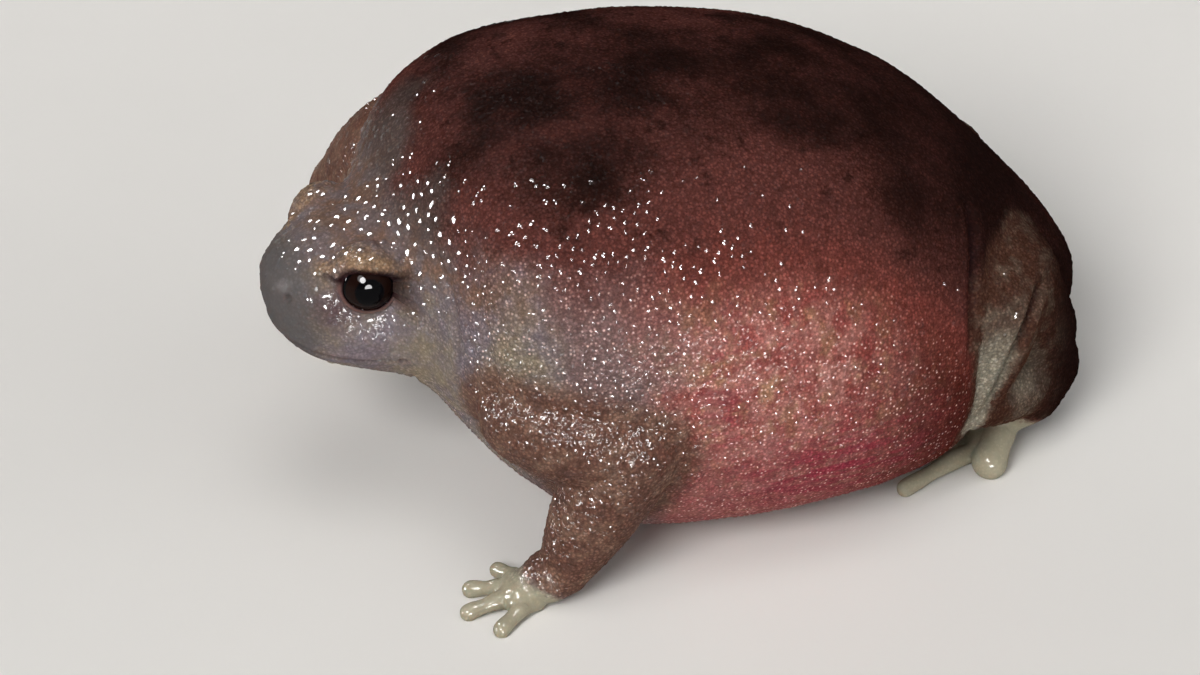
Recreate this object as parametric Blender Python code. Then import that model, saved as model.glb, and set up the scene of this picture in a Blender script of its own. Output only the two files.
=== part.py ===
"""Turtle frog, a still life-size model: crouched, body inflated, head turned a little to its left.

Places are (forward, left, height) in millimetres from the middle of the body on the floor.
The frog looks along -X, its left side is towards -Y and the floor is z = 0.
"""

import math
from bisect import bisect_right

import bmesh
import bpy
from mathutils import Matrix, Vector

MM = 0.001
GAP = 0.3
SIDES = {"left": 1, "right": -1}

# The middle of the whole outline, so that it stands over the origin
FORWARD_CENTRE = 0.5
LEFT_CENTRE = -1.7

# Body and head in one run of cross-sections: forward, half width, heights of back, belly and
# widest place, and how square the section is above and below that
SECTIONS = (
    (-23.7, 6.8, 15.0, 3.0, 9.0, 2.4, 2.8),
    (-18.0, 8.8, 19.0, 2.0, 10.8, 2.4, 2.7),
    (-15.5, 10.4, 20.9, 1.5, 11.6, 2.3, 2.6),
    (-13.0, 12.5, 22.5, 1.0, 11.8, 2.2, 2.5),
    (-8.0, 14.5, 25.2, 0.1, 12.2, 2.15, 2.4),
    (0.0, 15.4, 27.1, -0.4, 12.8, 2.2, 2.3),
    (7.0, 15.0, 27.2, 0.2, 13.8, 2.3, 2.2),
    (11.0, 13.9, 26.4, 3.1, 14.6, 2.5, 2.1),
    (14.0, 11.9, 25.0, 6.5, 15.2, 2.6, 2.05),
    (16.0, 9.3, 23.2, 8.8, 15.3, 2.5, 2.1),
    (17.4, 6.7, 21.3, 9.8, 15.1, 2.3, 2.2),
    (18.8, 5.3, 20.1, 10.2, 14.9, 2.15, 2.4),
    (21.5, 4.7, 19.3, 11.1, 15.5, 2.15, 2.4),
    (24.7, 4.0, 18.6, 11.1, 16.2, 2.15, 2.6),
)
SNOUT_TIP = 24.7
SNOUT_ROUND = 20.4
RUMP_TIP = -23.7
RUMP_ROUND = -12.0
SEGMENTS = 56
BODY_STEP = 2.0
HEAD_STEP = 1.0
CAP_RINGS = 8
LEAST_CAP_STEP = 1.5

# Head turned to its left beyond the neck
NECK = 17.5
TURN_START = 12.5
TURN_END = 19.5
HEAD_TURN = math.radians(9.0)

# Eyes: the ball, the lids over it and the slit between them
EYE_RADIUS = 1.85
EYE_PLACE = (19.8, 3.1, 17.3)
EYE_AXIS = (0.24, 0.95, 0.12)
LID_RADIUS = 2.3
SLIT_HALF_LENGTH = 1.5
SLIT_UP = 1.25
SLIT_DOWN = 1.3
SLIT_SLANT = math.radians(-12.0)
SLIT_POINTS = 20
BALL_ROWS = 12

# Mouth line, as forward places and angles round the section, from the left corner to the middle
MOUTH = ((18.3, -0.4), (19.6, -0.48), (21.2, -0.56), (22.9, -0.7), (23.8, -1.05), (23.95, -1.57))
MOUTH_GROOVE = 0.26
LIP_RADIUS = 0.5
LIP_ABOVE = 0.1
LIP_SUNK = 0.32
NOSTRIL = (24.05, 0.3)
NOSTRIL_RADIUS = 0.3
NOSTRIL_ROWS = 5
MOUTH_STEPS = 4

# Joints as forward, left, height and radius
ARMS = {
    "left": {
        "shoulder": (11.4, 10.8, 12.0, 3.3),
        "elbow": (6.6, 13.1, 10.5, 2.9),
        "wrist": (10.4, 12.6, 2.2, 1.5),
    },
    "right": {
        "shoulder": (12.9, -10.2, 15.4, 4.9),
        "elbow": (15.7, -14.7, 11.2, 3.1),
        "wrist": (13.4, -14.4, 2.1, 1.5),
    },
}
LEGS = {
    "left": {
        "hip": (-15.2, 7.9, 12.4, 3.7),
        "knee": (-14.5, 9.2, 6.9, 1.7),
        "heel": (-20.0, 4.2, 5.7, 2.9),
    },
    "right": {
        "hip": (-15.2, -7.9, 12.4, 3.7),
        "knee": (-14.3, -9.4, 7.0, 1.7),
        "heel": (-20.0, -4.5, 5.6, 2.9),
    },
}
ARM_BULGE = 0.35
LEG_BULGE = 0.3
LIMB_SEGMENTS = 18
LIMB_RINGS = 7
LIMB_CAP_RINGS = 3

# Hands and feet: the way each points, in degrees to the left of forward
HAND_HEADINGS = {"left": -8.0, "right": -36.0}
FOOT_HEADINGS = {"left": 12.0, "right": -16.0}
PALM = (2.6, 1.5, 1.0)
SOLE = (3.2, 1.7, 1.0)
# Digits: spread from the heading to the outer side, how far back the root is, length, radii of
# root and tip, and how high the root stands
FINGERS = (
    (-52.0, 0.6, 2.4, 0.62, 0.5, 0.0),
    (-18.0, 0.0, 2.7, 0.66, 0.52, 0.0),
    (14.0, 0.0, 3.0, 0.66, 0.52, 0.0),
    (46.0, 0.6, 2.6, 0.62, 0.5, 0.0),
)
TOES = (
    (-34.0, 0.6, 2.6, 0.62, 0.52, 0.0),
    (-19.0, 0.2, 4.0, 0.62, 0.52, 0.0),
    (-4.0, 0.0, 5.3, 0.66, 0.54, 0.0),
    (12.0, 0.2, 6.4, 0.7, 0.55, 0.0),
    (38.0, 1.3, 2.5, 0.95, 1.05, 1.6),
)
DIGIT_SEGMENTS = 10
DIGIT_RINGS = 4
DIGIT_CAP_RINGS = 3
DIGIT_WAIST = 0.1
DIGIT_ARCH = 0.35
FLAT_DEPTH = 0.15

# Finishes: colour, roughness
SKIN = {
    "torso": ((0.34, 0.13, 0.12), 0.3),
    "head": ((0.37, 0.27, 0.27), 0.3),
    "upper_arm": ((0.33, 0.21, 0.16), 0.32),
    "forearm": ((0.36, 0.27, 0.21), 0.32),
    "hand": ((0.5, 0.42, 0.36), 0.35),
    "thigh": ((0.42, 0.36, 0.32), 0.32),
    "shank": ((0.3, 0.2, 0.17), 0.32),
    "foot": ((0.62, 0.56, 0.49), 0.35),
}
EYE_COLOUR = (0.02, 0.012, 0.01)
EYE_ROUGHNESS = 0.05


def place(forward, left, height):
    """World place in metres of a place given in millimetres on the frog."""
    return Vector((FORWARD_CENTRE - forward, LEFT_CENTRE - left, height)) * MM


def direction(forward, left, height):
    """World direction of a direction given on the frog."""
    return Vector((-forward, -left, height)).normalized()


def smoothstep(value):
    value = min(max(value, 0.0), 1.0)
    return value * value * (3 - 2 * value)


def along(rows, at, column):
    """Value in a column at a place along rows, on the smooth curve through them all."""
    spots = [row[0] for row in rows]
    low = min(max(bisect_right(spots, at) - 1, 0), len(rows) - 2)

    def slope(i):
        before, after = rows[max(i - 1, 0)], rows[min(i + 1, len(rows) - 1)]
        return (after[column] - before[column]) / (after[0] - before[0])

    width = spots[low + 1] - spots[low]
    t = (at - spots[low]) / width
    start, end = rows[low][column], rows[low + 1][column]
    return (
        start * (1 + 2 * t) * (1 - t) ** 2
        + end * t * t * (3 - 2 * t)
        + width * t * (1 - t) * (slope(low) * (1 - t) - slope(low + 1) * t)
    )


def closing(forward):
    """How far the sections have shrunk towards the snout or the rump, from 1 to 0."""
    if forward > SNOUT_ROUND:
        reach = (forward - SNOUT_ROUND) / (SNOUT_TIP - SNOUT_ROUND)
    elif forward < RUMP_ROUND:
        reach = (RUMP_ROUND - forward) / (RUMP_ROUND - RUMP_TIP)
    else:
        return 1.0
    return math.sqrt(max(1 - reach * reach, 0.0))


def turned(forward, left):
    """The place with the head's turn, which grows from the neck forward."""
    angle = HEAD_TURN * smoothstep((forward - TURN_START) / (TURN_END - TURN_START))
    ahead = forward - NECK
    return (
        NECK + ahead * math.cos(angle) - left * math.sin(angle),
        ahead * math.sin(angle) + left * math.cos(angle),
    )


def on_head(forward, left, height):
    """World place of a place given on the head before its turn."""
    return place(*turned(forward, left), height)


def skin(forward, angle):
    """World place on the body's skin, at an angle round the section from its left side upwards."""
    half_width, back, belly, widest, above, below = (
        along(SECTIONS, forward, column) for column in range(1, 7)
    )
    close = closing(forward)
    power = above if math.sin(angle) > 0 else below
    tall = back - widest if math.sin(angle) > 0 else widest - belly
    across = math.copysign(abs(math.cos(angle)) ** (2 / power), math.cos(angle))
    upward = math.copysign(abs(math.sin(angle)) ** (2 / power), math.sin(angle))
    return on_head(forward, half_width * close * across, widest + tall * close * upward)


def stations():
    """Places along the body for its rings, close together at both rounded ends."""
    quarter = [math.pi / 2 * i / CAP_RINGS for i in range(CAP_RINGS)]
    rump = [RUMP_ROUND - (RUMP_ROUND - RUMP_TIP) * math.sin(a) for a in reversed(quarter)]
    snout = [SNOUT_ROUND + (SNOUT_TIP - SNOUT_ROUND) * math.sin(a) for a in quarter]
    middle = []
    at = RUMP_ROUND
    while at < SNOUT_ROUND - LEAST_CAP_STEP:
        at += BODY_STEP if at < TURN_START else HEAD_STEP
        middle.append(at)
    return rump + middle + snout


def new_object(name, bm):
    """Object with the mesh of bm in triangles, which Booleans need on curved quads; bm is freed."""
    bmesh.ops.triangulate(bm, faces=bm.faces)
    bmesh.ops.recalc_face_normals(bm, faces=bm.faces)
    mesh = bpy.data.meshes.new(name)
    bm.to_mesh(mesh)
    bm.free()
    obj = bpy.data.objects.new(name, mesh)
    bpy.context.scene.collection.objects.link(obj)
    return obj


def loft(name, rings, start, end):
    """Closed object through rings of points, with a point at each end."""
    bm = bmesh.new()
    loops = [[bm.verts.new(point) for point in ring] for ring in rings]
    count = len(loops[0])
    for near, far in zip(loops, loops[1:]):
        for i in range(count):
            j = (i + 1) % count
            bm.faces.new((near[i], near[j], far[j], far[i]))
    for loop, tip in ((loops[0], start), (loops[-1], end)):
        pole = bm.verts.new(tip)
        for i in range(count):
            bm.faces.new((loop[i], loop[(i + 1) % count], pole))
    return new_object(name, bm)


def remove(obj):
    bpy.data.objects.remove(obj)


def applied(obj):
    """The object with its modifiers applied."""
    bpy.context.view_layer.update()
    graph = bpy.context.evaluated_depsgraph_get()
    mesh = bpy.data.meshes.new_from_object(obj.evaluated_get(graph))
    obj.modifiers.clear()
    obj.data = mesh
    return obj


def cut(obj, cutter, solver="EXACT"):
    """Takes the cutter's shape out of the object and removes the cutter."""
    boolean = obj.modifiers.new("Cut", "BOOLEAN")
    boolean.operation = "DIFFERENCE"
    boolean.solver = solver
    boolean.object = cutter
    applied(obj)
    remove(cutter)


def fused(obj, pieces):
    """The object joined with closed pieces that overlap it, in one union."""
    collection = bpy.data.collections.new(obj.name + "_pieces")
    bpy.context.scene.collection.children.link(collection)
    for piece in pieces:
        collection.objects.link(piece)
    boolean = obj.modifiers.new("Join", "BOOLEAN")
    boolean.operation = "UNION"
    boolean.operand_type = "COLLECTION"
    boolean.collection = collection
    applied(obj)
    for piece in pieces:
        remove(piece)
    bpy.data.collections.remove(collection)
    return obj


def sliced(obj, point, normal):
    """Cuts the object flat and drops what lies on the side that the normal points to."""
    bm = bmesh.new()
    bm.from_mesh(obj.data)
    bmesh.ops.bisect_plane(
        bm,
        geom=bm.verts[:] + bm.edges[:] + bm.faces[:],
        dist=1e-7,
        plane_co=point,
        plane_no=normal,
        clear_outer=True,
    )
    bmesh.ops.holes_fill(bm, edges=[edge for edge in bm.edges if edge.is_boundary], sides=0)
    bmesh.ops.recalc_face_normals(bm, faces=bm.faces)
    bm.to_mesh(obj.data)
    bm.free()
    return obj


def on_floor(obj):
    """Cuts the object flat where it would reach below the floor."""
    return sliced(obj, Vector((0, 0, 0)), Vector((0, 0, -1)))


def keep_largest(obj):
    """Keeps only the largest closed surface of the object."""
    bm = bmesh.new()
    bm.from_mesh(obj.data)
    left = set(bm.verts)
    pieces = []
    while left:
        reached = {left.pop()}
        edge_of_piece = list(reached)
        while edge_of_piece:
            vert = edge_of_piece.pop()
            for edge in vert.link_edges:
                other = edge.other_vert(vert)
                if other not in reached:
                    reached.add(other)
                    edge_of_piece.append(other)
        left -= reached
        pieces.append(reached)
    largest = max(pieces, key=len)
    spare = [vert for vert in bm.verts if vert not in largest]
    bmesh.ops.delete(bm, geom=spare, context="VERTS")
    bm.to_mesh(obj.data)
    bm.free()
    return obj


def tube(name, path, segments, cap_rings, grow=0.0):
    """Round-ended object along a path of (place, radius) pairs, with radii grown by grow."""
    places = [place(*spot) for spot, _ in path]
    radii = [(radius + grow) * MM for _, radius in path]
    first = (places[1] - places[0]).normalized()
    last = (places[-1] - places[-2]).normalized()
    side = first.orthogonal().normalized()
    rings = []

    def ring(centre, heading, radius):
        nonlocal side
        side = (side - heading * side.dot(heading)).normalized()
        other = heading.cross(side)
        angles = [2 * math.pi * i / segments for i in range(segments)]
        rings.append([centre + (side * math.cos(a) + other * math.sin(a)) * radius for a in angles])

    for i in range(cap_rings - 1, 0, -1):
        a = math.pi / 2 * i / cap_rings
        ring(places[0] - first * radii[0] * math.sin(a), first, radii[0] * math.cos(a))
    for i, (spot, radius) in enumerate(zip(places, radii)):
        before, after = places[max(i - 1, 0)], places[min(i + 1, len(places) - 1)]
        ring(spot, (after - before).normalized(), radius)
    for i in range(1, cap_rings):
        a = math.pi / 2 * i / cap_rings
        ring(places[-1] + last * radii[-1] * math.sin(a), last, radii[-1] * math.cos(a))
    start, end = places[0] - first * radii[0], places[-1] + last * radii[-1]
    return loft(name, rings, start, end)


def segment(name, near, far, bulge, grow=0.0):
    """Length of limb between two joints, thickest near its middle."""
    path = []
    for i in range(LIMB_RINGS):
        t = i / (LIMB_RINGS - 1)
        spot = [a + (b - a) * t for a, b in zip(near[:3], far[:3])]
        path.append((spot, near[3] + (far[3] - near[3]) * t + bulge * math.sin(math.pi * t)))
    return tube(name, path, LIMB_SEGMENTS, LIMB_CAP_RINGS, grow)


def mitre(joint, one_end, other_end):
    """Point and normal of the plane that parts two lengths that meet at a joint."""
    centre = place(*joint[:3])
    one = (place(*one_end[:3]) - centre).normalized()
    other = (place(*other_end[:3]) - centre).normalized()
    return centre, (one - other).normalized()


def part_at(joint, one, one_end, other, other_end):
    """Cuts two neighbours flat at their joint, the gap apart."""
    point, normal = mitre(joint, one_end, other_end)
    sliced(one, point + normal * GAP / 2 * MM, -normal)
    sliced(other, point - normal * GAP / 2 * MM, normal)


def ahead_of(joint, heading, distance, height):
    """Place on the frog at a distance from a joint, along a heading in degrees, at a height."""
    angle = math.radians(heading)
    return (
        joint[0] + distance * math.cos(angle),
        joint[1] + distance * math.sin(angle),
        height,
    )


def pad(name, joint, heading, size, grow=0.0):
    """Palm or sole: from its joint down to the floor and along the heading."""
    length, half_width, thick = size
    low = thick - FLAT_DEPTH
    front = ahead_of(joint, heading, length, low)
    middle = ahead_of(joint, heading, length / 2, (low + joint[2]) / 2)
    path = ((joint[:3], joint[3]), (middle, joint[3]), (front, thick))
    body = tube(name, path, DIGIT_SEGMENTS, DIGIT_CAP_RINGS, grow)
    across = []
    for turn in (-90.0, 90.0):
        beside = ahead_of(front, heading + turn, half_width - thick, low)
        across.append((beside, thick))
    return body, tube(name + "_front", across, DIGIT_SEGMENTS, DIGIT_CAP_RINGS, grow), front


def digits(name, front, heading, size, rows, outer, grow=0.0):
    """Fingers or toes, spread over the front of the pad from the inner to the outer side."""
    half_width, thick = size[1:]
    made = []
    for i, (spread, back, length, root_radius, tip_radius, lift) in enumerate(rows):
        sideways = (2 * i / (len(rows) - 1) - 1) * (half_width - root_radius) * outer
        root = ahead_of(front, heading + 90.0, sideways, 0)
        root = ahead_of(root, heading, -back, 0)
        aim = heading + spread * outer
        path = []
        for k in range(DIGIT_RINGS):
            t = k / (DIGIT_RINGS - 1)
            middle = math.sin(math.pi * t)
            radius = root_radius + (tip_radius - root_radius) * t - DIGIT_WAIST * middle
            height = radius - FLAT_DEPTH + DIGIT_ARCH * middle + lift * (1 - t)
            spot = ahead_of(root, aim, length * t - thick / 2 * (1 - t), height)
            path.append((spot, radius))
        made.append(tube(f"{name}_digit_{i + 1}", path, DIGIT_SEGMENTS, DIGIT_CAP_RINGS, grow))
    return made


def extremity(name, joint, heading, size, rows, outer, grow=0.0):
    """Hand or foot in one piece."""
    body, front_bar, front = pad(name, joint, heading, size, grow)
    return fused(body, [front_bar] + digits(name, front, heading, size, rows, outer, grow))


def limb_cutters(side):
    """The limbs of one side, grown by the gap, to make room for them in the body."""
    arm, leg, outer = ARMS[side], LEGS[side], SIDES[side]
    sole = extremity("cut_foot", leg["heel"], FOOT_HEADINGS[side], SOLE, TOES, outer, GAP)
    return [
        segment("cut_upper_arm", arm["shoulder"], arm["elbow"], ARM_BULGE, GAP),
        segment("cut_forearm", arm["elbow"], arm["wrist"], ARM_BULGE, GAP),
        segment("cut_thigh", leg["hip"], leg["knee"], LEG_BULGE, GAP),
        segment("cut_shank", leg["knee"], leg["heel"], LEG_BULGE, GAP),
        sole,
    ]


def whole_body(name):
    """Body and head in one closed piece."""
    places = stations()
    angles = [2 * math.pi * (i + 0.5) / SEGMENTS for i in range(SEGMENTS)]
    rings = [[skin(at, a) for a in angles] for at in places[1:]]
    rump, snout = along(SECTIONS, RUMP_TIP, 4), along(SECTIONS, SNOUT_TIP, 4)
    return loft(name, rings, on_head(RUMP_TIP, 0, rump), on_head(SNOUT_TIP, 0, snout))


def neck_plane():
    """Point and normal of the plane that parts the head from the torso."""
    angle = HEAD_TURN * smoothstep((NECK - TURN_START) / (TURN_END - TURN_START))
    return on_head(NECK, 0, along(SECTIONS, NECK, 4)), direction(math.cos(angle), math.sin(angle), 0)


def make_torso():
    torso = on_floor(whole_body("torso"))
    point, ahead = neck_plane()
    sliced(torso, point - ahead * GAP / 2 * MM, ahead)
    for side in SIDES:
        for cutter in limb_cutters(side):
            cut(torso, cutter)
    return keep_largest(torso)


def eye_frame(outer):
    """Matrix of an eye: x along the slit towards the snout, y up the slit, z out of the eye."""
    out = Vector((EYE_AXIS[0], EYE_AXIS[1] * outer, EYE_AXIS[2]))
    out = direction(*turned_axis(out))
    up = Vector((0, 0, 1))
    ahead = up.cross(out).normalized() * outer
    ahead = Matrix.Rotation(SLIT_SLANT * outer, 3, out) @ ahead
    rise = out.cross(ahead).normalized() * outer
    centre = on_head(EYE_PLACE[0], EYE_PLACE[1] * outer, EYE_PLACE[2])
    return Matrix.Translation(centre) @ Matrix((ahead, rise, out)).transposed().to_4x4()


def turned_axis(axis):
    """A direction on the frog with the head's full turn."""
    cosine, sine = math.cos(HEAD_TURN), math.sin(HEAD_TURN)
    return axis[0] * cosine - axis[1] * sine, axis[0] * sine + axis[1] * cosine, axis[2]


def ball(name, radius, frame, rows=BALL_ROWS):
    """Sphere with its poles along the frame's z."""
    bm = bmesh.new()
    bmesh.ops.create_uvsphere(bm, u_segments=2 * rows, v_segments=rows, radius=radius * MM, matrix=frame)
    return new_object(name, bm)


def slit_cutter(name, frame):
    """Prism with the outline of the open eye, flatter above than below."""
    bm = bmesh.new()
    near, far = [], []
    for i in range(SLIT_POINTS):
        angle = 2 * math.pi * i / SLIT_POINTS
        tall = SLIT_UP if math.sin(angle) > 0 else SLIT_DOWN
        x, y = SLIT_HALF_LENGTH * math.cos(angle) * MM, tall * math.sin(angle) * MM
        near.append(bm.verts.new(frame @ Vector((x, y, EYE_RADIUS / 2 * MM))))
        far.append(bm.verts.new(frame @ Vector((x, y, 2 * LID_RADIUS * MM))))
    bm.faces.new(near)
    bm.faces.new(far)
    for i in range(SLIT_POINTS):
        j = (i + 1) % SLIT_POINTS
        bm.faces.new((near[i], near[j], far[j], far[i]))
    return new_object(name, bm)


def along_mouth(name, radius, above=0.0, sunk=0.0):
    """Tube along the whole mouth line, or an angle above it, its middle sunk in the skin."""
    left_side = [(forward, angle + above) for forward, angle in MOUTH]
    right_side = [(forward, -math.pi - angle) for forward, angle in reversed(left_side[:-1])]
    points = []
    for forward, angle in left_side + right_side:
        point = skin(forward, angle)
        inwards = on_head(forward - 1.0, 0, along(SECTIONS, forward, 4)) - point
        points.append(point + inwards.normalized() * sunk * MM)
    curve = bpy.data.curves.new(name, "CURVE")
    curve.dimensions = "3D"
    curve.bevel_depth = radius * MM
    curve.bevel_resolution = 1
    curve.use_fill_caps = True
    curve.resolution_u = MOUTH_STEPS
    spline = curve.splines.new("NURBS")
    spline.points.add(len(points) - 1)
    for knot, point in zip(spline.points, points):
        knot.co = (*point, 1)
    spline.order_u = 4
    spline.use_endpoint_u = True
    guide = bpy.data.objects.new(name, curve)
    bpy.context.scene.collection.objects.link(guide)
    bpy.context.view_layer.update()
    graph = bpy.context.evaluated_depsgraph_get()
    mesh = bpy.data.meshes.new_from_object(guide.evaluated_get(graph))
    remove(guide)
    bm = bmesh.new()
    bm.from_mesh(mesh)
    bmesh.ops.remove_doubles(bm, verts=bm.verts, dist=1e-6)
    return new_object(name, bm)


def make_head():
    """Head with lids over hollow sockets, nostrils, an upper lip and the mouth line under it."""
    # EXACT leaves open edges at the nostrils, among the fine triangles of the snout
    fine = "MANIFOLD"
    head = whole_body("head")
    point, ahead = neck_plane()
    sliced(head, point + ahead * GAP / 2 * MM, -ahead)
    lids = [ball("lid", LID_RADIUS, eye_frame(outer)) for outer in SIDES.values()]
    fused(head, lids + [along_mouth("lip", LIP_RADIUS, LIP_ABOVE, LIP_SUNK)])
    for outer in SIDES.values():
        frame = eye_frame(outer)
        cut(head, ball("socket", EYE_RADIUS + GAP, frame), fine)
        cut(head, slit_cutter("slit", frame), fine)
        forward, angle = NOSTRIL
        around = angle if outer > 0 else math.pi - angle
        nostril = ball("nostril", NOSTRIL_RADIUS, Matrix.Translation(skin(forward, around)), NOSTRIL_ROWS)
        cut(head, nostril, fine)
    cut(head, along_mouth("mouth", MOUTH_GROOVE), fine)
    for arm in ARMS.values():
        room = segment("cut_upper_arm", arm["shoulder"], arm["elbow"], ARM_BULGE, GAP)
        cut(head, room, fine)
    return keep_largest(head)


def make_eyes():
    return [ball(f"eye_{side}", EYE_RADIUS, eye_frame(outer)) for side, outer in SIDES.items()]


def make_arm(side):
    """Upper arm, forearm and hand of one side."""
    joints, outer = ARMS[side], SIDES[side]
    shoulder, elbow, wrist = joints["shoulder"], joints["elbow"], joints["wrist"]
    upper_arm = segment(f"upper_arm_{side}", shoulder, elbow, ARM_BULGE)
    forearm = segment(f"forearm_{side}", elbow, wrist, ARM_BULGE)
    hand = extremity(f"hand_{side}", wrist, HAND_HEADINGS[side], PALM, FINGERS, outer)
    part_at(elbow, upper_arm, shoulder, forearm, wrist)
    fingertip = ahead_of(wrist, HAND_HEADINGS[side], PALM[0], 0)
    part_at(wrist, forearm, elbow, hand, fingertip)
    return [upper_arm, forearm, on_floor(hand)]


def make_leg(side):
    """Thigh, shank and foot of one side, folded against each other."""
    joints, outer = LEGS[side], SIDES[side]
    hip, knee, heel = joints["hip"], joints["knee"], joints["heel"]
    thigh = segment(f"thigh_{side}", hip, knee, LEG_BULGE)
    shank = segment(f"shank_{side}", knee, heel, LEG_BULGE)
    foot = extremity(f"foot_{side}", heel, FOOT_HEADINGS[side], SOLE, TOES, outer)
    part_at(knee, thigh, hip, shank, heel)
    toe_roots = ahead_of(heel, FOOT_HEADINGS[side], SOLE[0], 0)
    part_at(heel, shank, knee, foot, toe_roots)
    return [thigh, shank, on_floor(foot)]


def finish(obj, colour, roughness):
    """Gives the object its own material and smooth shading."""
    material = bpy.data.materials.new(obj.name + "_skin")
    material.use_nodes = True
    shader = material.node_tree.nodes["Principled BSDF"]
    shader.inputs["Base Color"].default_value = (*colour, 1)
    shader.inputs["Roughness"].default_value = roughness
    shader.inputs["Metallic"].default_value = 0.0
    obj.data.materials.clear()
    obj.data.materials.append(material)
    obj.data.shade_smooth()


def main():
    for obj in list(bpy.data.objects):
        bpy.data.objects.remove(obj)
    flesh = [make_torso(), make_head()]
    for side in SIDES:
        flesh += make_arm(side)
        flesh += make_leg(side)
    for obj in flesh:
        kind = obj.name.removesuffix("_left").removesuffix("_right")
        finish(obj, *SKIN[kind])
    for eye in make_eyes():
        finish(eye, EYE_COLOUR, EYE_ROUGHNESS)


if __name__ == "__main__":
    main()
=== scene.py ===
"""Turtle frog as a still museum model: one wet skin, its granules, two eyes and a pale studio.

Sizes are in millimetres until a mesh is finished. A spot on the frog is (forward, left, height)
from the middle of the body on the floor, as in the solids. The head is described as it is before
its turn to the left, and turned() gives it that turn.
"""

import math
from bisect import bisect_right
from itertools import product

import bmesh
import bpy
import numpy as np
from bpy.props import (
    FloatProperty,
    FloatVectorProperty,
    IntProperty,
    PointerProperty,
)
from mathutils import Matrix, Vector


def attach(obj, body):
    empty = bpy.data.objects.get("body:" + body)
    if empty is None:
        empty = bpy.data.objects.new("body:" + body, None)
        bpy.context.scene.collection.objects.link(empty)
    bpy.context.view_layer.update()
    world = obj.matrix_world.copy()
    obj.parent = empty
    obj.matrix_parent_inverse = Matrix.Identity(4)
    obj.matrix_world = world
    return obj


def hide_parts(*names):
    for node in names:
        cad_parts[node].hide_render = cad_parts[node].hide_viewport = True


bl_info = {
    "name": "Turtle frog model",
    "version": (1, 0, 0),
    "blender": (4, 5, 0),
    "location": "View3D > Sidebar > Turtle frog",
    "description": "Builds the skin, granules and eyes of a turtle frog over its solids, and a studio",
    "category": "Object",
}

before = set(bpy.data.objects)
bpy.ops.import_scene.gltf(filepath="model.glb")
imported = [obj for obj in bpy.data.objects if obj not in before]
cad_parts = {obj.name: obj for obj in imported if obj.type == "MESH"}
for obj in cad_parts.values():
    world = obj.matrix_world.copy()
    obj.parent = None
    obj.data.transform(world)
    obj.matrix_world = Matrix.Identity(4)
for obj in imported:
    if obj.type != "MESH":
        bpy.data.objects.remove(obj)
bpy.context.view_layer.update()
FLESH = sorted(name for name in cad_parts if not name.startswith("eye_"))
MM = 0.001
SIDES = {"left": 1, "right": -1}

# The middle of the whole outline, which stands over the origin
FORWARD_CENTRE = 0.5
LEFT_CENTRE = -1.7

# Cross-sections of body and head: forward, half width, heights of back, belly and widest place,
# and how square the section is above and below that
SECTIONS = np.array((
    (-23.7, 6.8, 15.0, 3.0, 9.0, 2.4, 2.8),
    (-18.0, 8.8, 19.0, 2.0, 10.8, 2.4, 2.7),
    (-15.5, 10.4, 20.9, 1.5, 11.6, 2.3, 2.6),
    (-13.0, 12.5, 22.5, 1.0, 11.8, 2.2, 2.5),
    (-8.0, 14.5, 25.2, 0.1, 12.2, 2.15, 2.4),
    (0.0, 15.4, 27.1, -0.4, 12.8, 2.2, 2.3),
    (7.0, 15.0, 27.2, 0.2, 13.8, 2.3, 2.2),
    (11.0, 13.9, 26.4, 3.1, 14.6, 2.5, 2.1),
    (14.0, 11.9, 25.0, 6.5, 15.2, 2.6, 2.05),
    (16.0, 9.3, 23.2, 8.8, 15.3, 2.5, 2.1),
    (17.4, 6.7, 21.3, 9.8, 15.1, 2.3, 2.2),
    (18.8, 5.3, 20.1, 10.2, 14.9, 2.15, 2.4),
    (21.5, 4.7, 19.3, 11.1, 15.5, 2.15, 2.4),
    (24.7, 4.0, 18.6, 11.1, 16.2, 2.15, 2.6),
))
SNOUT_TIP = 24.7
SNOUT_ROUND = 20.4
RUMP_TIP = -23.7
RUMP_ROUND = -12.0
BODY_SEGMENTS = 144
BODY_STEP = 0.6
CAP_RINGS = 20

# Head turned to its left beyond the neck
NECK = 17.5
TURN_START = 12.5
TURN_END = 19.5
HEAD_TURN = math.radians(9.0)

# Eyes: the ball, the lids over it and the slit between them
EYE_RADIUS = 1.85
EYE_PLACE = (19.8, 3.1, 17.3)
EYE_AXIS = (0.24, 0.95, 0.12)
LID_RADIUS = 2.3
SLIT_HALF_LENGTH = 1.5
SLIT_UP = 1.05
SLIT_DOWN = 1.3
SLIT_SQUARE = 2.7
SLIT_SLANT = math.radians(-12.0)

# Mouth line, as forward places and angles round the section, from the left corner to the middle
MOUTH = ((18.3, -0.4), (19.6, -0.48), (21.2, -0.56), (22.9, -0.7), (23.8, -1.05), (23.95, -1.57))
NOSTRIL = (24.05, 0.3)
LOREAL = (22.0, 0.22)

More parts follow.
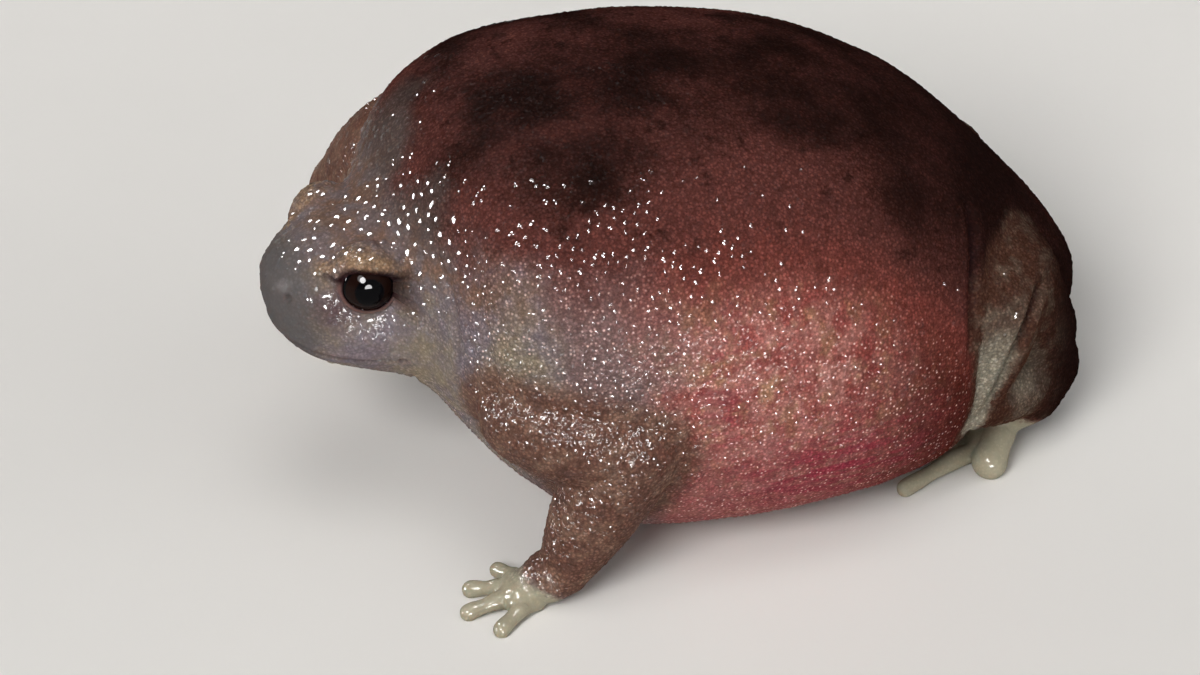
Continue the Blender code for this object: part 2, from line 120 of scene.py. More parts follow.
# Joints as forward, left, height and radius
ARMS = {
    "left": {
        "shoulder": (11.4, 10.8, 12.0, 3.3),
        "elbow": (6.6, 13.1, 10.5, 2.9),
        "wrist": (10.4, 12.6, 2.2, 1.5),
    },
    "right": {
        "shoulder": (12.9, -10.2, 15.4, 4.9),
        "elbow": (15.7, -14.7, 11.2, 3.1),
        "wrist": (13.4, -14.4, 2.1, 1.5),
    },
}
LEGS = {
    "left": {
        "hip": (-15.2, 7.9, 12.4, 3.7),
        "knee": (-14.5, 9.2, 6.9, 1.7),
        "heel": (-20.0, 4.2, 5.7, 2.9),
    },
    "right": {
        "hip": (-15.2, -7.9, 12.4, 3.7),
        "knee": (-14.3, -9.4, 7.0, 1.7),
        "heel": (-20.0, -4.5, 5.6, 2.9),
    },
}
ARM_BULGE = 0.35
LEG_BULGE = 0.3
LIMB_SEGMENTS = 40
LIMB_RINGS = 24

# Hands and feet: the way each points, in degrees to the left of forward
HAND_HEADINGS = {"left": -8.0, "right": -36.0}
FOOT_HEADINGS = {"left": 12.0, "right": -16.0}
PALM = (2.6, 1.5, 1.0)
SOLE = (3.2, 1.7, 1.0)
# Digits: spread from the heading to the outer side, how far back the root is, length, radii of
# root and tip, and how high the root stands
FINGERS = (
    (-52.0, 0.6, 2.4, 0.62, 0.5, 0.0),
    (-18.0, 0.0, 2.7, 0.66, 0.52, 0.0),
    (14.0, 0.0, 3.0, 0.66, 0.52, 0.0),
    (46.0, 0.6, 2.6, 0.62, 0.5, 0.0),
)
TOES = (
    (-34.0, 0.6, 2.6, 0.62, 0.52, 0.0),
    (-19.0, 0.2, 4.0, 0.62, 0.52, 0.0),
    (-4.0, 0.0, 5.3, 0.66, 0.54, 0.0),
    (12.0, 0.2, 6.4, 0.7, 0.55, 0.0),
    (38.0, 1.3, 2.5, 0.95, 1.05, 1.6),
)
DIGIT_SEGMENTS = 24
DIGIT_RINGS = 14
DIGIT_WAIST = 0.1
DIGIT_ARCH = 0.35
FLAT_DEPTH = 0.15

# Folds in the skin of each side: forward places and angles round the left side, depth and width
FOLDS = (
    (((16.6, 0.75), (16.2, 0.3), (16.0, -0.2), (16.4, -0.7)), 0.16, 0.28),
    (((15.0, 0.5), (14.4, 0.0), (14.4, -0.5), (15.2, -1.0)), 0.2, 0.4),
    (((18.6, -0.75), (17.6, -0.85), (16.9, -1.2), (16.7, -1.57)), 0.12, 0.22),
    (((4.6, 0.25), (3.9, -0.05), (3.9, -0.4)), 0.12, 0.22),
    (((3.6, -0.2), (1.6, -0.45), (0.6, -0.75)), 0.14, 0.25),
)

# Places along a fold or crease
LINE_PLACES = 60

# Creases round each thigh, as spots on the skin, with depth and width
CREASES = (
    (((-14.4, 7.5, 19.5), (-14.1, 9.6, 17.5), (-13.5, 11.5, 15.4), (-13.2, 12.3, 12.0)), 0.45, 0.45),
    (((-20.0, 5.4, 14.0), (-17.6, 9.8, 13.6), (-16.1, 11.4, 11.0), (-14.9, 10.7, 7.0)), 0.55, 0.36),
)

# Soft flesh between rump, thigh and shank, as spots and radii
HAM = ((-16.8, 6.1, 12.6, 3.8), (-19.2, 4.9, 8.4, 3.2))

# Places where hind parts melt into each other: how far behind, to each side and up, the reach of
# the full and of any effect, and the number of passes
MELTED = (((16.8, 8.0, 14.6), 2.5, 6.0, 80), ((21.3, 5.0, 9.5), 2.0, 5.0, 140))
SMOOTH_PASSES = 12

# Camera: where it looks from, how far away it is, and what its picture spans at that distance
CAMERA_AZIMUTH = math.radians(-15.0)
CAMERA_ELEVATION = math.radians(34.0)
CAMERA_DISTANCE = 0.270
PICTURE_WIDTH = 0.0688
PICTURE_PIXELS = (1200, 675)
SENSOR_WIDTH = 36.0
BODY_PIXEL = (683.0, 255.0)
BODY_SPOT = (0.0, 0.0, 13.5)

# Lights: azimuth and elevation in degrees, width as seen from the frog in degrees, and strength.
# The sparkle lights only show as reflections in wet skin.
LIGHTS = (
    ("main_light", -38.0, 38.0, 24.0, 2.4),
    ("top_light", -10.0, 74.0, 30.0, 0.6),
    ("fill_light", 35.0, 35.0, 80.0, 0.6),
)
LIGHT_DISTANCE = 0.4
FLOOR_HALF_SIDE = 6.0
SPARKLES = (
    ("sparkle_main", -28.0, 35.0, 22.0, 9.0),
    ("sparkle_ahead", -100.0, 12.0, 26.0, 12.0),
    ("sparkle_crown", -150.0, 45.0, 26.0, 10.0),
    ("sparkle_top", 40.0, 74.0, 22.0, 7.0),
    ("sparkle_low", -4.0, 5.0, 24.0, 9.0),
)


def to_world(spots):
    """World millimetres of spots on the frog, and the other way round."""
    spots = np.asarray(spots, float)
    return np.stack((FORWARD_CENTRE - spots[..., 0], LEFT_CENTRE - spots[..., 1], spots[..., 2]), -1)


def smoothstep(value, low=0.0, high=1.0):
    value = np.clip((value - low) / (high - low), 0.0, 1.0)
    return value * value * (3 - 2 * value)


def hump(distance, width):
    """Bell curve: 1 at no distance, and near 0 past twice the width."""
    return np.exp(-((distance / width) ** 2))


def section(forward):
    """Half width, heights and squareness of the cross-section at a place along the body."""
    spots = SECTIONS[:, 0]
    low = min(max(bisect_right(spots, forward) - 1, 0), len(spots) - 2)

    def slope(i):
        before, after = max(i - 1, 0), min(i + 1, len(spots) - 1)
        return (SECTIONS[after] - SECTIONS[before]) / (spots[after] - spots[before])

    width = spots[low + 1] - spots[low]
    t = (forward - spots[low]) / width
    row = SECTIONS[low] * (1 + 2 * t) * (1 - t) ** 2 + SECTIONS[low + 1] * t * t * (3 - 2 * t)
    row = row + width * t * (1 - t) * (slope(low) * (1 - t) - slope(low + 1) * t)
    return row[1:]


def closing(forward):
    """How far the sections have shrunk towards the snout or the rump, from 1 to 0."""
    if forward > SNOUT_ROUND:
        reach = (forward - SNOUT_ROUND) / (SNOUT_TIP - SNOUT_ROUND)
    elif forward < RUMP_ROUND:
        reach = (RUMP_ROUND - forward) / (RUMP_ROUND - RUMP_TIP)
    else:
        return 1.0
    return math.sqrt(max(1 - reach * reach, 0.0))


def head_angle(forward):
    return HEAD_TURN * smoothstep(forward, TURN_START, TURN_END)


def turned(spots):
    """Spots with the head's turn, which grows from the neck forward."""
    spots = np.asarray(spots, float)
    angle, ahead, left = head_angle(spots[..., 0]), spots[..., 0] - NECK, spots[..., 1]
    forward = NECK + ahead * np.cos(angle) - left * np.sin(angle)
    return np.stack((forward, ahead * np.sin(angle) + left * np.cos(angle), spots[..., 2]), -1)


def unturned(spots):
    """Spots as they are before the head's turn."""
    forward, ahead, left = spots[:, 0].copy(), spots[:, 0] - NECK, spots[:, 1]
    for _ in range(8):
        angle = head_angle(forward)
        forward = NECK + ahead * np.cos(angle) + left * np.sin(angle)
    return np.stack((forward, left * np.cos(angle) - ahead * np.sin(angle), spots[:, 2]), -1)


def skin_at(forward, angles):
    """World places round the body's section at angles from its left side upwards."""
    half_width, back, belly, widest, above, below = section(forward)
    angles = np.atleast_1d(angles)
    close = closing(forward)
    up = np.sin(angles) > 0
    power = 2 / np.where(up, above, below)
    tall = np.where(up, back - widest, widest - belly)
    across = np.sign(np.cos(angles)) * np.abs(np.cos(angles)) ** power
    upward = np.sign(np.sin(angles)) * np.abs(np.sin(angles)) ** power
    left = half_width * close * across
    height = widest + tall * close * upward
    return to_world(turned(np.stack((np.full_like(left, forward), left, height), -1)))


class Shells:
    """Closed surfaces gathered for one union."""

    def __init__(self):
        self.points = []
        self.faces = []
        self.count = 0

    def loft(self, rings, start, end):
        """Adds a closed surface through rings of points, with a point at each end."""
        rings = np.asarray(rings)
        rows, columns = rings.shape[:2]
        index = self.count + np.arange(rows * columns).reshape(rows, columns)
        after = np.roll(index, -1, axis=1)
        first, last = self.count + rows * columns, self.count + rows * columns + 1
        sides = np.stack((index[:-1], after[:-1], after[1:], index[1:]), -1).reshape(-1, 4)
        self.faces += sides.tolist()
        self.faces += [(first, b, a) for a, b in zip(index[0], after[0])]
        self.faces += [(last, a, b) for a, b in zip(index[-1], after[-1])]
        self.points += [rings.reshape(-1, 3), np.array([start, end])]
        self.count = last + 1

    def tube(self, path, radii, segments, cap_rings):
        """Adds a round-ended tube along world places with a radius at each."""
        path = np.asarray(path)
        headings = np.gradient(path, axis=0)
        headings /= np.linalg.norm(headings, axis=1)[:, None]
        side = np.cross(headings[0], (0.31, 0.52, 0.79))
        circle = np.linspace(0, 2 * math.pi, segments, endpoint=False)
        quarter = [math.pi / 2 * i / cap_rings for i in range(1, cap_rings)]
        steps = []
        for turn in reversed(quarter):
            centre = path[0] - headings[0] * radii[0] * math.sin(turn)
            steps.append((centre, headings[0], radii[0] * math.cos(turn)))
        steps += list(zip(path, headings, radii))
        for turn in quarter:
            centre = path[-1] + headings[-1] * radii[-1] * math.sin(turn)
            steps.append((centre, headings[-1], radii[-1] * math.cos(turn)))
        rings = []
        for centre, heading, radius in steps:
            side = side - heading * side.dot(heading)
            side /= np.linalg.norm(side)
            other = np.cross(heading, side)
            ring = np.outer(np.cos(circle), side) + np.outer(np.sin(circle), other)
            rings.append(centre + radius * ring)
        self.loft(rings, path[0] - headings[0] * radii[0], path[-1] + headings[-1] * radii[-1])

    def ball(self, centre, radius):
        """Adds a sphere."""
        offset = np.array((0.0, 0.0, radius * 1e-3))
        self.tube((centre - offset, centre + offset), (radius, radius), LIMB_SEGMENTS, 12)


def limb_line(near, far, bulge):
    """World places and radii along a length of limb, thickest near its middle."""
    t = np.linspace(0, 1, LIMB_RINGS)[:, None]
    near, far = np.array(near), np.array(far)
    row = near + (far - near) * t
    return to_world(row[:, :3]), row[:, 3] + bulge * np.sin(math.pi * t[:, 0])


def ahead_of(joint, heading, distance, height):
    """Spot at a distance from a joint, along a heading in degrees, at a height."""
    angle = math.radians(heading)
    return (joint[0] + distance * math.cos(angle), joint[1] + distance * math.sin(angle), height)


def pad_front(joint, heading, size):
    """Middle of the front edge of a palm or sole."""
    return ahead_of(joint, heading, size[0], size[2] - FLAT_DEPTH)


def digit_lines(joint, heading, size, rows, outer):
    """World places and radii along each finger or toe, from the inner to the outer side."""
    front = pad_front(joint, heading, size)
    half_width, thick = size[1:]
    t = np.linspace(0, 1, DIGIT_RINGS)
    middle = np.sin(math.pi * t)
    knuckles = 0.05 * np.cos(4 * math.pi * t) * middle
    for i, (spread, back, length, root_radius, tip_radius, lift) in enumerate(rows):
        sideways = (2 * i / (len(rows) - 1) - 1) * (half_width - root_radius) * outer
        root = ahead_of(ahead_of(front, heading + 90.0, sideways, 0), heading, -back, 0)
        aim = math.radians(heading + spread * outer)
        radii = root_radius + (tip_radius - root_radius) * t - DIGIT_WAIST * middle + knuckles
        heights = radii - FLAT_DEPTH + DIGIT_ARCH * middle + lift * (1 - t)
        reach = length * t - thick / 2 * (1 - t)
        spots = np.stack((root[0] + reach * math.cos(aim), root[1] + reach * math.sin(aim), heights), -1)
        yield to_world(spots), radii


def add_extremity(shells, joint, heading, size, rows, outer):
    """Adds a hand or foot: its pad down to the floor, and its digits."""
    length, half_width, thick = size
    front = pad_front(joint, heading, size)
    middle = ahead_of(joint, heading, length / 2, (front[2] + joint[2]) / 2)
    spots = np.array([joint[:3], middle, front])
    t = np.linspace(0, 1, DIGIT_RINGS)[:, None]
    bend = spots[0] * (1 - t) * (1 - 2 * t) + 4 * spots[1] * t * (1 - t) + spots[2] * t * (2 * t - 1)
    radii = joint[3] + (thick - joint[3]) * smoothstep(t[:, 0], 0.3, 1.0)
    shells.tube(to_world(bend), radii, LIMB_SEGMENTS, 8)
    across = [ahead_of(front, heading + turn, half_width - thick, front[2]) for turn in (-90.0, 90.0)]
    shells.tube(to_world(across), (thick, thick), DIGIT_SEGMENTS, 8)
    for path, radii in digit_lines(joint, heading, size, rows, outer):
        shells.tube(path, radii, DIGIT_SEGMENTS, 6)


def limb_lengths(side):
    """Each length of limb of one side, as its name, two joints and bulge."""
    arm, leg = ARMS[side], LEGS[side]
    return (
        ("upper_arm", arm["shoulder"], arm["elbow"], ARM_BULGE),
        ("forearm", arm["elbow"], arm["wrist"], ARM_BULGE),
        ("thigh", leg["hip"], leg["knee"], LEG_BULGE),
        ("shank", leg["knee"], leg["heel"], LEG_BULGE),
    )


def ham_line(outer):
    """World places of the soft flesh of one hind leg."""
    return to_world([(forward, left * outer, height) for forward, left, height, _ in HAM])


def extremities(side):
    """Hand and foot of one side: joint, heading, size of the pad, digits and which side it is."""
    return (
        (ARMS[side]["wrist"], HAND_HEADINGS[side], PALM, FINGERS, SIDES[side]),
        (LEGS[side]["heel"], FOOT_HEADINGS[side], SOLE, TOES, SIDES[side]),
    )


def add_body(shells):
    """Adds body and head in one closed surface."""
    quarter = np.arange(CAP_RINGS) * math.pi / 2 / CAP_RINGS
    rump = RUMP_ROUND - (RUMP_ROUND - RUMP_TIP) * np.sin(quarter[::-1])
    snout = SNOUT_ROUND + (SNOUT_TIP - SNOUT_ROUND) * np.sin(quarter)
    middle = np.arange(RUMP_ROUND + BODY_STEP, SNOUT_ROUND - BODY_STEP / 2, BODY_STEP)
    angles = (np.arange(BODY_SEGMENTS) + 0.5) * 2 * math.pi / BODY_SEGMENTS
    rings = [skin_at(at, angles) for at in (*rump, *middle, *snout)]
    tips = [(at, 0, section(at)[3]) for at in (RUMP_TIP, SNOUT_TIP)]
    shells.loft(rings, *to_world(turned(tips)))


def eye_frame(outer):
    """Centre and axes of an eye in world millimetres: along the slit to the snout, up, and out."""
    forward, left, rise = EYE_AXIS[0], EYE_AXIS[1] * outer, EYE_AXIS[2]
    cosine, sine = math.cos(HEAD_TURN), math.sin(HEAD_TURN)
    out = (left * sine - forward * cosine, -(forward * sine + left * cosine), rise)
    out = Vector(out).normalized()
    ahead = Vector((0, 0, 1)).cross(out).normalized() * outer
    ahead = Matrix.Rotation(SLIT_SLANT * outer, 3, out) @ ahead
    up = out.cross(ahead).normalized() * outer
    spot = np.array((EYE_PLACE[0], EYE_PLACE[1] * outer, EYE_PLACE[2]))
    return to_world(turned(spot)), np.array((ahead, up, out))


def union_of(shells, voxel):
    """One closed mesh of quads round all the shells."""
    mesh = bpy.data.meshes.new("frog_skin")
    mesh.from_pydata(np.concatenate(shells.points).tolist(), [], shells.faces)
    obj = bpy.data.objects.new("frog_skin", mesh)
    bpy.context.scene.collection.objects.link(obj)
    remesh = obj.modifiers.new("Union", "REMESH")
    remesh.mode = "VOXEL"
    remesh.voxel_size = voxel
    bake_modifiers(obj)
    return obj


def bake_modifiers(obj):
    """Replaces the object's mesh by what its modifiers make of it."""
    bpy.context.view_layer.update()
    graph = bpy.context.evaluated_depsgraph_get()
    mesh = bpy.data.meshes.new_from_object(obj.evaluated_get(graph))
    obj.modifiers.clear()
    old, obj.data = obj.data, mesh
    bpy.data.meshes.remove(old)


def places_of(mesh):
    places = np.empty(len(mesh.vertices) * 3, np.float32)
    mesh.vertices.foreach_get("co", places)
    return places.reshape(-1, 3).astype(float)


def set_places(mesh, places):
    mesh.vertices.foreach_set("co", places.astype(np.float32).ravel())
    mesh.update()


def normals_of(mesh):
    normals = np.empty(len(mesh.vertices) * 3, np.float32)
    mesh.vertex_normals.foreach_get("vector", normals)
    return normals.reshape(-1, 3).astype(float)


def relax(mesh, passes, weight=1.0, factors=(0.5, -0.51)):
    """Evens out the surface by a share at each vertex. The second factor keeps its size."""
    places = places_of(mesh)
    edges = np.empty(len(mesh.edges) * 2, np.int32)
    mesh.edges.foreach_get("vertices", edges)
    ends = np.concatenate((edges.reshape(-1, 2), edges.reshape(-1, 2)[:, ::-1]))
    degree = np.bincount(ends[:, 0], minlength=len(places))[:, None]
    weight = np.broadcast_to(np.asarray(weight, float), len(places))[:, None]
    for factor in factors * passes:
        near = [np.bincount(ends[:, 0], places[ends[:, 1], axis], len(places)) for axis in range(3)]
        places = places + factor * weight * (np.stack(near, -1) / degree - places)
    set_places(mesh, places)


def lattice_noise(points, seed):
    """Smooth noise from -1 to 1 with one lattice cell for each unit."""
    cell = np.floor(points).astype(np.int64)
    part = points - cell
    part = part * part * (3 - 2 * part)
    total = np.zeros(len(points))
    for painted_shade in product((0, 1), repeat=3):
        at = cell + painted_shade
        mixed = seed * 2654435761 ^ (at[:, 0] * 73856093)
        mixed = mixed ^ (at[:, 1] * 19349663) ^ (at[:, 2] * 83492791)
        mixed = (mixed ^ (mixed >> 13)) * 1274126177 & 0x7FFFFFFF
        share = np.prod(np.where(painted_shade, part, 1 - part), axis=1)
        total += share * (mixed % 65536 / 32767.5 - 1)
    return total


def refine(mesh, near):
    """Halves the edges of the faces whose vertices are all marked."""
    bm = bmesh.new()
    bm.from_mesh(mesh)
    bm.verts.ensure_lookup_table()
    edges = [e for e in bm.edges if near[e.verts[0].index] and near[e.verts[1].index]]
    bmesh.ops.subdivide_edges(bm, edges=edges, cuts=1, use_grid_fill=True)
    bm.to_mesh(mesh)
    bm.free()


def smooth_line(knots, count):
    """Places close together on a smooth curve through the knots."""
    at = np.linspace(0, len(knots) - 1.001, count)
    low = at.astype(int)
    t = (at - low)[:, None]
    before, after = knots[np.maximum(low - 1, 0)], knots[np.minimum(low + 2, len(knots) - 1)]
    start, end = knots[low], knots[low + 1]
    line = 2 * start + (end - before) * t + (2 * before - 5 * start + 4 * end - after) * t * t
    return (line + (3 * start - before - 3 * end + after) * t**3) / 2


def side_place(forward, angle, outer):
    """World place on the skin at an angle round the left side, or its mirror place."""
    return skin_at(forward, angle if outer > 0 else math.pi - angle)[0]


def taper(index, line):
    """1 at the middle of a line and near 0 at its ends."""
    return np.sin(math.pi * (index + 0.5) / len(line))


def mouth_line():
    """World places close together along the whole mouth line."""
    left = [skin_at(forward, angle)[0] for forward, angle in MOUTH]
    right = [skin_at(forward, -math.pi - angle)[0] for forward, angle in reversed(MOUTH[:-1])]
    return smooth_line(np.array(left + right), 5 * LINE_PLACES)


def nearest(points, line, reach):
    """Distance from each point to a line's nearest point, and its index, or endless past reach."""
    distance, index = np.full(len(points), np.inf), np.zeros(len(points), int)
    low, high = line.min(0) - reach, line.max(0) + reach
    close = np.flatnonzero(((points > low) & (points < high)).all(1))
    for first in range(0, len(close), 4000):
        chunk = close[first:first + 4000]
        apart = np.linalg.norm(points[chunk][:, None] - line[None], axis=2)
        index[chunk] = apart.argmin(1)
        distance[chunk] = apart.min(1)
    return distance, index


def closeness(places, lines, low, high):
    """1 on round limbs along the lines, fading to 0 between two distances from their surface."""
    share = np.zeros(len(places))
    for path, radii in lines:
        distance, index = nearest(places, path, radii.max() + high)
        share = np.maximum(share, 1 - smoothstep(distance - radii[index], low, high))
    return share


def eye_view(places, outer):
    """Places in an eye's own axes, their spot on a ball round it, and how far that is off the slit."""
    centre, axes = eye_frame(outer)
    own = (places - centre) @ axes.T
    ball = own / np.maximum(np.linalg.norm(own, axis=1), 1e-6)[:, None] * (EYE_RADIUS + 0.1)
    above = ball[:, 1] > 0
    tall, power = np.where(above, SLIT_UP, SLIT_DOWN), np.where(above, SLIT_SQUARE, 2.0)
    ratio = np.abs(ball[:, 0] / SLIT_HALF_LENGTH) ** power + np.abs(ball[:, 1] / tall) ** power
    ratio = np.maximum(ratio ** (1 / power), 1e-6)
    outside = (ratio - 1) * np.linalg.norm(ball[:, :2], axis=1) / ratio
    return own, ball, ratio, outside + 1.3 * np.maximum(0.95 - ball[:, 2], 0)


def open_lids(places, outer):
    """Opens the slit over the eye, with a thick rounded rim and a fold along the lower lid."""
    centre, axes = eye_frame(outer)
    own, ball, ratio, outside = eye_view(places, outer)
    near = (outside < 2.2) & (np.linalg.norm(own, axis=1) < 4.2)
    own, ball, ratio, gap = own[near], ball[near], ratio[near], outside[near]
    reach = np.linalg.norm(own, axis=1)

    # The vertices beside the outline move onto it, which makes the slit's edge smooth
    edge = np.abs(gap) < 0.045
    flat = ball[:, :2] / np.where(edge, ratio, 1.0)[:, None]
    deep = np.sqrt(np.maximum((EYE_RADIUS + 0.1) ** 2 - (flat**2).sum(1), 0.01))
    heading = np.column_stack((flat, deep)) / (EYE_RADIUS + 0.1)
    heading = np.where(edge[:, None], heading, own / reach[:, None])

    beyond = smoothstep(np.abs(own[:, 0]), 1.2, 2.4)
    upper = smoothstep(own[:, 1], -0.3 - beyond, 0.6 + beyond)
    rim = EYE_RADIUS + 0.05 + (0.16 + 0.34 * upper) * (1 - np.exp(-np.maximum(gap, 0) / 0.11))
    fold = 0.1 * (1 - upper) * hump(gap - 0.3 - 0.6 * upper, 0.14)
    hold = 1 - smoothstep(gap, 0.2 + 0.3 * upper, 0.9 + 0.5 * upper)
    target = rim * hold + reach * (1 - hold) - fold
    target = np.where(gap < 0, EYE_RADIUS - 0.35, target)
    target = np.where(edge, EYE_RADIUS + 0.04, target)
    result = places.copy()
    result[near] = (heading * target[:, None]) @ axes + centre
    return result


def sculpt(mesh, look):
    """Gives the even surface its folds, creases, lids, lips and nostrils."""
    places, normals = places_of(mesh), normals_of(mesh)
    head = unturned(to_world(places))
    on_head = smoothstep(head[:, 0], 15.5, 18.5)
    raised = lattice_noise(places / 3.4, 1) + 0.5 * lattice_noise(places / 1.5, 2)
    raised += 0.25 * lattice_noise(places / 0.7, 3)
    raised *= look.unevenness / MM * (1 - 0.5 * on_head)

    mouth = mouth_line()
    distance, index = nearest(places, mouth, 1.2)
    over = places[:, 2] > mouth[index][:, 2]
    raised -= 0.20 * hump(distance, 0.11)
    raised += np.where(over, 0.13 * hump(distance - 0.38, 0.22), 0.06 * hump(distance - 0.34, 0.2))

    for outer in SIDES.values():
        apart = np.linalg.norm(places - side_place(*NOSTRIL, outer), axis=1)
        raised += 0.07 * hump(apart - 0.3, 0.16) - 0.42 * hump(apart, 0.17)
        own = eye_view(places, outer)[0]
        side = own[:, 2] > 0
        brow = hump(own[:, 0] + 0.1, 1.7) * hump(own[:, 1] - 1.9, 0.7)
        ridge = hump(own[:, 0] + 2.6, 1.0) * hump(own[:, 1] + 0.1 * own[:, 0] - 0.35, 0.3)
        hollow = hump(own[:, 0] - 2.5, 0.8) * hump(own[:, 1] + 1.0, 0.6)
        pouch = hump(own[:, 0] + 0.2, 1.3) * hump(own[:, 1] + 2.25, 0.45)
        raised += (0.2 * brow + 0.14 * ridge - 0.2 * hollow + 0.08 * pouch) * side
        warts = lattice_noise(places / 0.36, 4 + outer)
        raised += 0.13 * warts * np.maximum(brow, 0.8 * ridge) * side

    sides = SIDES.values()
    lines = [(fold_line(path, outer), *rest, 0.35) for path, *rest in FOLDS for outer in sides]
    lines += [
        (crease_line(places, path, outer), *rest, 0.3) for path, *rest in CREASES for outer in sides
    ]
    for line, depth, width, bank in lines:
        distance, index = nearest(places, line, 4 * width)
        profile = hump(distance, width) - bank * hump(distance - 2 * width, width)
        raised -= depth * taper(index, line) ** 0.5 * profile

    places = places + normals * raised[:, None]
    for outer in SIDES.values():
        places = open_lids(places, outer)
    set_places(mesh, places)
    blend = np.zeros(len(places))
    for outer in SIDES.values():
        own, _, _, gap = eye_view(places, outer)
        close = 1 - smoothstep(np.linalg.norm(own, axis=1), 3.0, 4.2)
        close = close * smoothstep(gap, 0.25, 0.7)
        blend = np.maximum(blend, close * smoothstep(np.abs(own[:, 0]), 0.9, 1.5))
    relax(mesh, 16, blend, (0.5,))
    places = places_of(mesh)
    places[:, 2] = np.maximum(places[:, 2], 0.0)
    set_places(mesh, places)


def fold_line(path, outer):
    """World places along a fold given by forward places and angles round the left side."""
    return smooth_line(np.array([side_place(*knot, outer) for knot in path]), LINE_PLACES)


def crease_line(places, path, outer):
    """World places along a crease, from the skin's places nearest to its spots."""
    knots = to_world(np.array(path) * (1, outer, 1))
    knots = [places[np.linalg.norm(places - knot, axis=1).argmin()] for knot in knots]
    return smooth_line(np.array(knots), LINE_PLACES)


def thin_out(obj, triangles):
    """Joins small faces into larger ones, on the body much more than on head, hands and feet."""
    places = places_of(obj.data)
    head = unturned(to_world(places))
    fine = smoothstep(head[:, 0], 15.0, 18.5)
    fine = np.maximum(fine, 1 - smoothstep(places[:, 2], 2.0, 3.5))
    middle = np.linalg.norm((places[:, :2] - to_world((0, 0, 0))[:2]) / (13.5, 11.5), axis=1)
    fine = np.where((places[:, 2] < 3.5) & (middle < 1), 0.0, fine)
    group = obj.vertex_groups.new(name="plain")
    for share in (0, 1, 2, 3):
        chosen = np.flatnonzero(np.round((1 - fine) * 3) == share)
        group.add(chosen.tolist(), share / 3, "REPLACE")
    obj.data.calc_loop_triangles()
    decimate = obj.modifiers.new("Thin out", "DECIMATE")
    decimate.decimate_type = "COLLAPSE"
    decimate.ratio = triangles / len(obj.data.loop_triangles)
    decimate.vertex_group = group.name
    decimate.vertex_group_factor = 4.0
    bake_modifiers(obj)
    obj.vertex_groups.clear()


def add_share(mesh, name, values):
    """Keeps a value from 0 to 1 for each vertex, which the shaders read by its name."""
    layer = mesh.attributes.new(name, "FLOAT", "POINT")
    layer.data.foreach_set("value", np.clip(values, 0, 1).astype(np.float32))


def limb_shares(places, forward):
    """How much of the skin belongs to arms, legs, thighs, and fingers and toes."""
    arms, legs, hams, ends = [], [], [], []
    for name, outer in SIDES.items():
        for part, near, far, bulge in limb_lengths(name):
            chosen = arms if part in ("upper_arm", "forearm") else legs
            chosen.append(limb_line(near, far, bulge))
        hams.append((smooth_line(ham_line(outer), 12), np.full(12, 3.4)))
        for shape in extremities(name):
            ends += digit_lines(*shape)
    arm = closeness(places, arms, 0.2, 2.6)
    leg = closeness(places, legs + hams, 0.2, 1.6) * (1 - smoothstep(forward, -13.2, -12.0))
    thigh = closeness(places, legs[::2], 0.1, 0.7)
    return arm, leg, thigh, closeness(places, ends, 0.3, 1.6)


